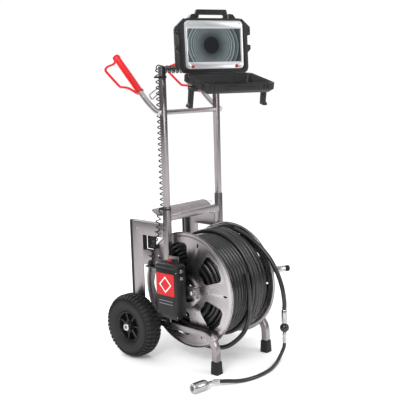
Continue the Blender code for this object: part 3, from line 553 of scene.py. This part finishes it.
tyre_rubber = moulded("tyre_rubber", (0.006, 0.006, 0.006), (0.020, 0.020, 0.020), roughness=0.64,
                      grain=240.0, depth=0.0005)
rim_plastic = moulded("rim_plastic", (0.004, 0.004, 0.004), (0.011, 0.011, 0.012), roughness=0.36,
                      grain=500.0, depth=0.0002)
AXLE_Y, AXLE_Z, WHEEL_X, BLOCKS = 0.152, 0.130, 0.213, 44
TYRE = [(0.0631, -0.0290), (0.0660, -0.0330), (0.0740, -0.0375), (0.0760, -0.0392), (0.0780, -0.0388),
        (0.0850, -0.0402), (0.0930, -0.0408), (0.1010, -0.0402), (0.1090, -0.0380), (0.1160, -0.0330),
        (0.1215, -0.0250), (0.1245, -0.0150), (0.1256, 0.0)]
TYRE += [(r, -h) for r, h in reversed(TYRE[:-1])]
RIM = [(0.0104, -0.0200), (0.0104, 0.0330), (0.0175, 0.0330), (0.0190, 0.0315), (0.0200, 0.0120),
       (0.0260, 0.0100), (0.0500, 0.0080), (0.0530, 0.0100), (0.0550, 0.0280), (0.0570, 0.0305),
       (0.0600, 0.0315), (0.0622, 0.0300), (0.0622, -0.0300), (0.0550, -0.0290), (0.0530, -0.0100),
       (0.0200, -0.0080)]
HUB_RING = [(0.0225, 0.0080), (0.0225, 0.0240), (0.0250, 0.0240), (0.0262, 0.0080)]
for word, sign in (("left", -1), ("right", 1)):
    centre = (sign * WHEEL_X, AXLE_Y, AXLE_Z)
    parts = [mesh_of(turned(TYRE, sides=96, closed=True), "carcass")]
    for height, phase in ((-0.0105, 0.0), (0.0105, pi / BLOCKS)):
        parts.append(ringed("tread", block((0.0060, 0.0125, 0.0150), 0.0010), BLOCKS, 0.1258, height,
                            tyre_rubber, phase))
    for way_out, phase in ((-1, 0.0), (1, pi / BLOCKS)):
        lug = block((0.0065, 0.0115, 0.0200), 0.0012, way_out * -32)
        rib = block((0.0120, 0.0030, 0.0025), 0.0006, way_out * -70)
        parts.append(ringed("lug", lug, BLOCKS, 0.1200, way_out * 0.0290, tyre_rubber, phase))
        parts.append(ringed("rib", rib, 2 * BLOCKS, 0.1090, way_out * 0.0385, tyre_rubber))
    piece(f"tyre_{word}_tread", joined(parts, "tyre", aimed((1, 0, 0), centre)), tyre_rubber,
          f"wheel_{word}", [f"tyre_{word}"])
    spoke = block((0.0370, 0.0065, 0.0200), 0.0012)
    parts = [mesh_of(turned(RIM, sides=72, closed=True), "rim"),
             ringed("spoke", spoke, 7, 0.0360, 0.0150, rim_plastic, 0.3),
             mesh_of(turned(HUB_RING, sides=48, closed=True), "ring")]
    piece(f"rim_{word}_spokes", joined(parts, "rim", aimed((sign, 0, 0), centre)), rim_plastic,
          f"wheel_{word}", [f"rim_{word}"])
AXLE_END = 0.2520
half = [(0.010, 0.0), (0.0145, 0.0), (0.0150, 0.0005), (0.0150, 0.0035), (0.0140, 0.0048), (0.0125, 0.0055),
        (0.0068, 0.0055), (0.0062, 0.0045), (0.0060, -0.0040)]
half = [(r, AXLE_END + h) for r, h in half]
axle = turned([(r, -h) for r, h in reversed(half)] + half, (1, 0, 0), (0, AXLE_Y, AXLE_Z), sides=48)
piece("wheel_axle_turned", mesh_of(axle, "axle"), shiny, "trolley", ["wheel_axle"])

# Reel flanges. Two pressed stainless discs, ground on a turntable, each with a rolled rim, five
# windows between its spokes, and a long and a short slot in each spoke.
REEL = Vector((0, -0.0766, 0.295))
FLANGE_DARK, FLANGE_LIGHT, FLANGE_GLOSS = (0.16, 0.148, 0.153), (0.60, 0.565, 0.575), 0.26
flange_steel, graph, shader, coords = finish_of("flange_steel", FLANGE_LIGHT, FLANGE_GLOSS, metallic=1.0,
                                                Anisotropic=0.5)
_, y, z = graph.split(coords)
y, z = y - (REEL + SHIFT).y, z - REEL.z
radius, angle = (y * y + z * z).math("POWER", 0.5), z.math("ARCTAN2", y)
rings = graph.value("ShaderNodeTexNoise", {"noise_dimensions": "1D"}, W=radius * 1400.0, Detail=3.0)
stains = noise(graph, coords, 7.0, 3.0)
# Painted reflection: fans of painted highlight and shade sweep round the disc by angle in its colour, over
# the real grinding rings and stains.
painted_fans = (angle * 2.0 + 0.9).math("SINE") * 0.5 + (angle * 5.0).math("SINE") * 0.22
rings_stains_and_painted_fans = (rings * 0.3 + stains * 0.2).ramp(0.18, 0.32, 0.0, 0.28) + painted_fans.ramp(-0.5, 0.6, 0.0, 0.75)
graph.feed(shader.inputs["Base Color"], tint(graph, rings_stains_and_painted_fans, FLANGE_DARK, FLANGE_LIGHT))
graph.feed(shader.inputs["Roughness"], (rings * 0.5 + stains * 0.5).ramp(0.35, 0.65, FLANGE_GLOSS - 0.08,
                                                                        FLANGE_GLOSS + 0.08))
bump(graph, shader, rings, 0.10, 0.00004)


def rounded(corners, radius, steps=6):
    """An outline with its corners rounded."""
    out = []
    for i, corner in enumerate(corners):
        here = Vector(corner)
        back = (Vector(corners[i - 1]) - here).normalized()
        onward = (Vector(corners[(i + 1) % len(corners)]) - here).normalized()
        half_angle = back.angle(onward) / 2
        reach = radius / max(0.2, abs(sin(half_angle) / cos(half_angle)))
        start, stop = here + back * reach, here + onward * reach
        centre = here + (back + onward).normalized() * (radius / sin(half_angle))
        for k in range(steps + 1):
            out.append(centre + ((start - centre).lerp(stop - centre, k / steps)).normalized() * radius)
    return out


def cut(mesh, cutter):
    """A mesh with a cutter's shape taken out."""
    host, tool = placed("host", mesh), placed("tool", mesh_of(cutter, "tool"))
    boolean = host.modifiers.new("cut", "BOOLEAN")
    boolean.operation, boolean.solver, boolean.object = "DIFFERENCE", "EXACT", tool
    done = evaluated_mesh(host)
    for made in (host, tool):
        bpy.data.objects.remove(made)
    return done


FLANGE_X, FLANGE_T, WINDOW_IN, WINDOW_OUT, WINDOW_HALF = 0.12375, 0.0022, 0.090, 0.187, radians(18.5)
FACE = [(0.0104, 0.0120), (0.0300, 0.0120), (0.0330, 0.0095), (0.0450, 0.0095), (0.0500, 0.0085),
        (0.0560, 0.0045), (0.0610, 0.0012), (0.0680, 0.0), (0.0880, 0.0), (0.2040, 0.0), (0.2070, 0.0008),
        (0.2110, 0.0008), (0.2140, 0.0), (0.2240, 0.0), (0.2262, 0.0010), (0.2275, 0.0030),
        (0.2290, 0.0035), (0.2300, 0.0030)]
profile = [(r, FLANGE_X + h + FLANGE_T) for r, h in FACE] + [(r, FLANGE_X + h) for r, h in reversed(FACE)]
for word, sign in (("left", -1), ("right", 1)):
    holes = bmesh.new()
    through = [sign * x for x in (0.115, 0.140)]
    for k in range(5):
        corners = []
        for r, spread, bulge in ((WINDOW_IN, -1, 1.0), (WINDOW_OUT, -1, 1.0), (WINDOW_OUT, 0, 1.035),
                                 (WINDOW_OUT, 1, 1.0), (WINDOW_IN, 1, 1.0), (WINDOW_IN, 0, 1.05)):
            a = radians(37 + 72 * k) + spread * WINDOW_HALF
            corners.append((REEL.y - r * bulge * cos(a), REEL.z + r * bulge * sin(a)))
        loft([[(x, p.x, p.y) for p in rounded(corners, 0.019)] for x in through], bm=holes)
        spoke = radians(1 + 72 * k)
        out, across = Vector((-cos(spoke), sin(spoke))), Vector((sin(spoke), cos(spoke)))
        for r, length, width in ((0.190, 0.0105, 0.0042), (0.098, 0.0028, 0.0028)):
            centre = Vector((REEL.y, REEL.z)) + out * r
            rim = [centre + out * length * cos(j * pi / 8) + across * width * sin(j * pi / 8)
                   for j in range(16)]
            loft([[(x, *p) for p in rim] for x in through], bm=holes)
    disc = mesh_of(turned(profile, (sign, 0, 0), REEL, sides=144, closed=True), "flange")
    piece(f"flange_{word}_disc", cut(disc, holes), flange_steel, "reel",
          [f"reel_flange_{word}"])

# Reel winding. Five layers of push cable on a black drum, with four loose turns thrown over them. A
# winding tool turns each layer as a spiral that wanders a little; the drum runs on a steel shaft.
graph, given, result = node_tool("winding", Turns="Float", Layer="Float", Length="Float", Radius="Float",
                                 Slack="Float", Seed="Float")
spiral = graph.node("GeometryNodeCurveSpiral", Resolution=44, Rotations=given["Turns"],
                    Start_Radius=given["Layer"], End_Radius=given["Layer"], Height=given["Length"])
wander = graph.node("ShaderNodeTexNoise", {"noise_dimensions": "4D"}, out=1, W=given["Seed"], Scale=9.0,
                    Detail=1.0)
centred = graph.vector("SUBTRACT", wander, (0.5, 0.5, 0.5))
moved = graph.node("GeometryNodeSetPosition", Geometry=spiral,
                   Offset=graph.vector("SCALE", centred, Scale=given["Slack"]))
circle = graph.node("GeometryNodeCurvePrimitiveCircle", Radius=given["Radius"], Resolution=12)
swept = graph.node("GeometryNodeCurveToMesh", Curve=moved, Profile_Curve=circle, Fill_Caps=True)
WINDING = end_tool(graph, result, swept, given["Material"])

TURNS, PACK, WOUND_R, LOOSE_R, LOOSE_STEPS = 12.6, 0.2200, CABLE_D / 2 - 0.0001, 0.2102, 48
layers = []
for k, radius in enumerate((0.1290, 0.1455, 0.1620, 0.1785, 0.1950)):
    mesh = run_tool(WINDING, bpy.data.meshes.new("seed"), "layer", Turns=TURNS, Layer=radius, Length=PACK,
                    Radius=WOUND_R, Slack=0.0035 if k == 4 else 0.0015, Seed=float(k), Material=jacket)
    mesh.transform(Matrix.Translation((0, 0, -PACK / 2)))
    mesh.transform(Matrix.Rotation(radians(75 * k), 4, "Z") @ Matrix.Diagonal((1 if k % 2 else -1, 1, 1, 1)))
    layers.append(mesh)
loose = []
for a in (2 * pi * k / LOOSE_STEPS for k in range(4 * LOOSE_STEPS + 20)):
    loose.append((LOOSE_R * cos(a + 1.1), LOOSE_R * sin(a + 1.1),
                  0.012 + 0.0145 * a / (2 * pi) + 0.007 * sin(a * 0.93 + 0.6) + 0.003 * sin(2.7 * a)))
layers.append(pipe("loose_turns", loose, WOUND_R, 12, jacket))
piece("cable_winding", joined(layers, "winding", aimed((1, 0, 0), REEL)), jacket, "reel",
      ["wound_cable"])
refined("reel_core", plastic, edge=0)
refined("reel_shaft", shiny, edge=0.0010)
refined("reel_lock_pin", shiny, edge=0.0006)
BUSH = [(0.0102, 0.1385), (0.0150, 0.1385), (0.0150, 0.1405), (0.0102, 0.1405)]
for word, sign in (("left", -1), ("right", 1)):
    bush = mesh_of(turned(BUSH, (sign, 0, 0), REEL, sides=40, closed=True), "bush")
    piece(f"reel_bush_{word}", bush, plastic, "trolley")

# Screws of the side plates. Pan heads of plated steel, each with a cross recess. A screw tool stands
# one head on every given point and turns it to a given direction.
graph, given, result = node_tool("screws", Radius="Float", Direction="Vector")
size = Value(graph, given["Radius"])


def raised(shape, height):
    """A shape lifted along its axis."""
    return graph.node("GeometryNodeTransform", Geometry=shape,
                      Translation=graph.node("ShaderNodeCombineXYZ", Z=height))


def combined(operation, shapes, base=None):
    """Shapes as one solid, or taken out of a base."""
    made = graph.tree.nodes.new("GeometryNodeMeshBoolean")
    made.operation, made.solver = operation, "EXACT"
    for shape in shapes:
        graph.tree.links.new(shape, made.inputs["Mesh 2"])
    if base:
        graph.tree.links.new(base, made.inputs["Mesh 1"])
    return made.outputs[0]


low = graph.node("GeometryNodeMeshCylinder", Vertices=20, Radius=size, Depth=size * 0.5)
dome = raised(graph.node("GeometryNodeMeshCone", Vertices=20, Radius_Top=size * 0.62, Radius_Bottom=size,
                         Depth=size * 0.3), size * 0.249)
bar = graph.node("GeometryNodeMeshCube", Size=graph.node("ShaderNodeCombineXYZ", X=size, Y=size * 0.2,
                                                         Z=size * 0.5))
cross = combined("UNION", (bar, graph.node("GeometryNodeTransform", Geometry=bar, Rotation=(0, 0, pi / 2))))
screw_head = combined("DIFFERENCE", [raised(cross, size * 0.55)], combined("UNION", (low, dome)))
facing = graph.node("FunctionNodeAlignRotationToVector", {"axis": "Z"}, Vector=given["Direction"])
copies = graph.node("GeometryNodeInstanceOnPoints", Points=given["Geometry"], Instance=screw_head,
                    Rotation=facing)
SCREWS = end_tool(graph, result, copies, given["Material"])


def screws(name, points, radius, direction, body="trolley", shifted=True):
    """A row of screw heads as one piece."""
    mesh = run_tool(SCREWS, dotted(name, points), name, Radius=radius, Direction=tuple(direction),
                    Material=shiny)
    piece(name, mesh, shiny, body, shifted=shifted)


PLATE_X = 0.1655
screws("plate_screws_outer_left", [(-PLATE_X, 0.0385, 0.5215), (-PLATE_X, 0.160, 0.520),
                                   (-PLATE_X, 0.1605, 0.130)], 0.0042, (-1, 0, 0))
screws("plate_screws_outer_right", [(PLATE_X, 0.107, 0.523), (PLATE_X, 0.138, 0.500),
                                    (PLATE_X, 0.1605, 0.130)], 0.0042, (1, 0, 0))

# Tray loop. A bent wire hook at the right end of the tray, which holds a strap.
loop = [(0.1455, 0.0480, 0.5865), (0.1560, 0.0480, 0.5900), (0.1640, 0.0500, 0.5950),
        (0.1650, 0.0580, 0.5985), (0.1640, 0.0660, 0.5950), (0.1560, 0.0680, 0.5900),
        (0.1455, 0.0680, 0.5865)]
piece("tray_loop", pipe("loop", smooth_path(loop, 0.002), 0.0015, 12, shiny), None, "trolley")

# Control box. A folded and painted steel box on the left upright, with a stepped lid, a red rocker
# switch on top, a plain panel on its outer side and two chromed sockets on the front.
box_black = moulded("box_black", (0.004, 0.004, 0.005), (0.010, 0.010, 0.011), roughness=0.34, grain=520.0,
                    depth=0.0002, coat=0.05)
refined("control_box", box_black, edge=0.0018)
refined("control_box_lid", box_black, edge=0.0016)
switch_red = moulded("switch_red", (0.42, 0.004, 0.004), (0.55, 0.008, 0.008), roughness=0.30, grain=300.0,
                     depth=0.00005, coat=0.1)
refined("power_rocker", switch_red, edge=0.0006)
PANEL_Y, DIAMOND_Z, RED_FROM, LINE_STEP = -0.0515 + SHIFT.y, 0.333, 0.291, 0.012
panel, graph, shader, coords = finish_of("label_panel", (0.02, 0.02, 0.02), 0.35, Specular_IOR_Level=0.3)
_, y, z = graph.split(coords)
y = y - PANEL_Y
diamond = (y.math("ABSOLUTE") + (z - DIAMOND_Z).math("ABSOLUTE")).between(0.0260, 0.0325)
is_red = z.math("GREATER_THAN", RED_FROM)
lines = (z * (1 / LINE_STEP)).math("FRACT").between(0.40, 0.52) * z.between(0.250, 0.280)
lines = lines * y.math("ABSOLUTE").math("LESS_THAN", 0.036)
ground = tint(graph, is_red, (0.007, 0.007, 0.008), (0.52, 0.006, 0.010))
white = (diamond * is_red).math("MAXIMUM", lines * 0.45)
graph.feed(shader.inputs["Base Color"], tint(graph, white, ground, (0.75, 0.74, 0.72)))
graph.feed(shader.inputs["Roughness"], noise(graph, coords, 30.0).ramp(0.3, 0.7, 0.26, 0.42))
refined("label_panel", panel, edge=0)
SOCKET = [(0.0005, 0.0), (0.0072, 0.0), (0.0072, 0.0022), (0.0056, 0.0030), (0.0056, 0.0085),
          (0.0048, 0.0095), (0.0036, 0.0095), (0.0034, 0.0035), (0.0005, 0.0035)]
bm = bmesh.new()
for z in (0.386, 0.359):
    turned(SOCKET, (0, -1, 0), (-0.1935, -0.105, z), sides=28, bm=bm)
piece("box_sockets", mesh_of(bm, "sockets"), shiny, "trolley")
screws("box_screws", [(x, -0.1054, z) for x, z in ((-0.2206, 0.210), (-0.2206, 0.384), (-0.1700, 0.210))],
       0.0026, (0, -1, 0))
refined("curly_cord_plug", plastic, edge=0.0006)

# Curly cord. A coiled black cable from the box's plug, up behind the left upright and along the top bar to
# the monitor. A curl tool winds the cable about a path; the long stretch is a straight coil that rides on no
# body.
cord_black = moulded("cord_black", (0.005, 0.005, 0.006), (0.014, 0.014, 0.015), roughness=0.38,
                     grain=700.0, depth=0.0001, coat=0.15)
graph, given, result = node_tool("curl", Coil="Float", Pitch="Float", Radius="Float")
line = graph.node("GeometryNodeMeshToCurve", Mesh=given["Geometry"])
along = graph.value("GeometryNodeSplineParameter", out=1)
normal = graph.node("GeometryNodeInputNormal")
binormal = graph.vector("CROSS_PRODUCT", graph.node("GeometryNodeInputTangent"), normal)
angle = along / Value(graph, given["Pitch"]) * (2 * pi)
coil = Value(graph, given["Coil"])
offset = graph.vector("ADD", graph.vector("SCALE", normal, Scale=angle.math("COSINE") * coil),
                      graph.vector("SCALE", binormal, Scale=angle.math("SINE") * coil))
wound = graph.node("GeometryNodeSetPosition", Geometry=line, Offset=offset)
circle = graph.node("GeometryNodeCurvePrimitiveCircle", Radius=given["Radius"], Resolution=8)
swept = graph.node("GeometryNodeCurveToMesh", Curve=wound, Profile_Curve=circle, Fill_Caps=True)
CURL = end_tool(graph, result, swept, given["Material"])
CORD_R, COIL, BAR_COIL, PITCH = 0.0023, 0.0082, 0.0130, 0.0215


def curl(name, path, coil, body, node):
    """A coiled cord about a path."""
    mesh = run_tool(CURL, dotted(name, path, True), name, Coil=coil, Pitch=PITCH, Radius=CORD_R,
                    Material=cord_black)
    return piece(name, mesh, None, body, [node], sharp=60)


LOWER_CURL = [(-0.183, 0.0715, 0.4030), (-0.182, 0.0670, 0.425), (-0.181, 0.0590, 0.450),
              (-0.180, 0.0390, 0.496), (-0.180, 0.0275, 0.535), (-0.179, 0.0243, 0.562),
              (-0.168, 0.0245, 0.590), (-0.1545, 0.0240, 0.612)]
curl("curly_cord_foot", smooth_path(LOWER_CURL, 0.0012), COIL, "trolley", "curly_cord_lower")
bottom, top = (-0.1525, 0.0233, 0.618), (-0.1525, 0.0233, 1.150)
long_path = [Vector(bottom).lerp(Vector(top), k / 440) for k in range(441)]
made = curl("curly_cord_rise", long_path, COIL, None, "curly_cord_long")
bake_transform(made)
bar_path = [(-0.140 + 0.148 * k / 160, 0.0, 1.145) for k in range(161)]
curl("curly_cord_over", bar_path, BAR_COIL, "upper_frame", "curly_cord_bar")
link = [(-0.1525, 0.0300, 1.1480), (-0.1530, 0.0290, 1.1560), (-0.1500, 0.0220, 1.1620),
        (-0.1440, 0.0120, 1.1590), (-0.1400, 0.0040, 1.1575)]
piece("curly_cord_link", pipe("link", smooth_path(link, 0.002), CORD_R, 10, cord_black), None,
      "upper_frame")
TIE_HALF, middle = 0.0035, Vector((-0.1525, 0.0100))
outline = rounded([(-0.1660, -0.0140), (-0.1390, -0.0140), (-0.1390, 0.0345), (-0.1660, 0.0345)], 0.006)
inner = [middle + (p - middle) * 0.955 for p in outline]
for name, height, body in (("cord_tie_low", 0.611, "trolley"), ("cord_tie_high", 1.117, "upper_frame")):
    rings = [[(p.x, p.y, height + h) for p in row] for row, h in (
        (outline, -TIE_HALF), (outline, TIE_HALF), (inner, TIE_HALF), (inner, -TIE_HALF))]
    piece(name, mesh_of(loft(rings, closed=True), "tie"), plastic, body)

# Camera holder's knob. A moulded clamp knob with a knurled rim, on the steel bar that carries the
# sleeve for the camera head.
KNOB, KNOB_WAY = (0.194941, -0.262081 - SHIFT.y, 0.349), (0.867, -0.498, 0)
refined("holder_knob", plastic, edge=0.0006)
knurl = ringed("knurl", block((0.0014, 0.0011, 0.0150), 0.0003), 36, 0.0114, 0.0105, plastic)
knurl.transform(aimed(KNOB_WAY, KNOB))
piece("knob_knurl", knurl, plastic, "holder_knob")

# Monitor. The hard case tilts in a moulded bracket that turns on the frame's arm. Its front carries
# an aluminium bezel with two red buttons and a screen, which shows the view down a ribbed pipe.
sideways, inward = Vector((0.91496, -0.403545, 0)), Vector((0.403161, 0.914089, -0.043619))
upright = Vector((0.017602, 0.03991, 0.999048))
TILT = axes_at((0.015294, -0.038949, 1.178), sideways, inward, upright)
FACE_Y, SCREEN_Z = -0.070, 0.049
case_black = moulded("case_black", (0.004, 0.004, 0.005), (0.011, 0.011, 0.012), roughness=0.44,
                     grain=900.0, depth=0.0002)
refined("monitor_case", case_black, edge=0.0016)
aluminium = metal("bezel_aluminium", (0.52, 0.53, 0.54), (0.66, 0.67, 0.69), roughness=0.40,
                  stretch=(0.5, 12, 12), grain=90.0, depth=0.00003)
refined("monitor_bezel", aluminium, edge=0.0006)
display, graph, shader, coords = finish_of("screen_picture", (0.004, 0.004, 0.004), 0.08,
                                           Emission_Strength=1.0, Specular_IOR_Level=0.3)
away = graph.vector("SUBTRACT", coords, tuple(TILT @ Vector((-0.012, FACE_Y, SCREEN_Z))))
u = graph.value("ShaderNodeVectorMath", {"operation": "DOT_PRODUCT"}, out=1, _0=away, _1=tuple(sideways))
v = graph.value("ShaderNodeVectorMath", {"operation": "DOT_PRODUCT"}, out=1, _0=away, _1=tuple(upright))
radius = (u * u + v * v).math("POWER", 0.5)
depth = 0.75 / (radius + noise(graph, coords, 9.0, 2.0) * 0.012)
grooves = depth.math("FRACT").between(0.0, 0.30)
ridges = depth.math("FRACT").between(0.30, 0.55)
shade = radius.ramp(0.028, 0.070, 0.03, 0.19) * radius.ramp(0.090, 0.120, 1.0, 0.30)
grime = noise(graph, coords, 45.0, 4.0).ramp(0.3, 0.7, 0.80, 1.08)
outer = radius.ramp(0.045, 0.085)
crests = ridges * outer * radius.ramp(0.095, 0.125, 0.22, 0.03)
light = (shade * grime * (1.0 - grooves * outer * 0.70) + crests) * radius.ramp(0.0290, 0.0330)
graph.feed(shader.inputs["Emission Color"], tint(graph, light, (0.01, 0.012, 0.014), (0.72, 0.88, 0.92)))
refined("screen", display, edge=0)
for word in ("left", "right"):
    refined(f"monitor_button_{word}", switch_red, edge=0.0005)
    refined(f"latch_{word}", case_black, edge=0.0010)
refined("carry_handle", case_black, edge=0.0014)
refined("case_lid", case_black, edge=0.0014)

# Ribs and screws of the monitor. The case, its handle and its lid are stiffened by moulded ribs, and
# four small screws hold the bezel. A rib tool stands one bar on every given point.
graph, given, result = node_tool("ribs", Size="Vector")
bar = graph.node("GeometryNodeMeshCube", Size=given["Size"])
copies = graph.node("GeometryNodeInstanceOnPoints", Points=given["Geometry"], Instance=bar)
RIBS = end_tool(graph, result, copies, given["Material"])


def ribs(name, rows, place, body):
    """Rows of moulded ribs, each row one size, set in a body's own frame."""
    made = [run_tool(RIBS, dotted(name, points), name, Size=size, Material=case_black)
            for size, points in rows]
    piece(name, joined(made, name, place), case_black, body, shifted=False)


ribs("case_ribs", [((0.005, 0.024, 0.014), [(x, -0.030, 0.1500) for x in (-0.062, 0.062)]),
                   ((0.003, 0.052, 0.150), [(x, -0.040, 0.040) for x in (-0.1400, 0.1400)]),
                   ((0.080, 0.006, 0.004), [(0, FACE_Y + 0.010, -0.0555)])], TILT, "monitor")
FOLD = axes_at((-0.000883, -0.075625, 1.3374), sideways, inward, upright)
ribs("handle_ribs", [((0.0030, 0.0182, 0.0175), [(-0.036 + 0.006 * k, 0.0, 0.0158) for k in range(13)])],
     FOLD, "carry_handle")
LID = axes_at((-0.017209, -0.112642, 1.121459), sideways, (0.394727, 0.894966, 0.207912),
              (-0.083902, -0.190231, 0.978148))
LID_FRONT, LID_SIDE = -0.206, 0.140
ribs("lid_ribs", [((0.010, 0.004, 0.016), [(x, LID_FRONT, -0.0050) for x in (-0.112, -0.098, 0.098, 0.112)]),
                  ((0.110, 0.003, 0.010), [(0, LID_FRONT, -0.0100)]),
                  ((0.004, 0.030, 0.018), [(x, y, -0.0060) for x in (-LID_SIDE, LID_SIDE)
                                           for y in (-0.045, -0.172)]),
                  ((0.046, 0.012, 0.005), [(x, -0.046, -0.0240) for x in (-0.078, 0.0, 0.078)]),
                  ((0.006, 0.120, 0.004), [(x, -0.108, -0.0245) for x in (-0.108, 0.108)]),
                  ((0.200, 0.006, 0.004), [(0, -0.168, -0.0245)]),
                  ((0.232, 0.0030, 0.0030), [(0, y, 0.0062) for y in (-0.0130, -0.1990)]),
                  ((0.0030, 0.160, 0.0030), [(x, -0.106, 0.0062) for x in (-0.1330, 0.1330)])],
     LID, "case_lid")
corners = [TILT @ Vector((x, FACE_Y + 0.0006, SCREEN_Z + z)) for x in (-0.1075, 0.1075)
           for z in (0.080, -0.0775)]
screws("bezel_screws", corners, 0.0024, -inward, "monitor", shifted=False)

# Floor. A plain pale floor that the trolley stands on.
floor_white, graph, shader, coords = finish_of("floor_white", (0.95, 0.95, 0.952), 0.8,
                                               Specular_IOR_Level=0.1, Emission_Color=(1, 1, 1, 1),
                                               Emission_Strength=0.10)
bm = bmesh.new()
bmesh.ops.create_grid(bm, x_segments=1, y_segments=1, size=14)
floor = placed("floor", mesh_of(bm, "floor"))
floor.data.materials.append(floor_white)
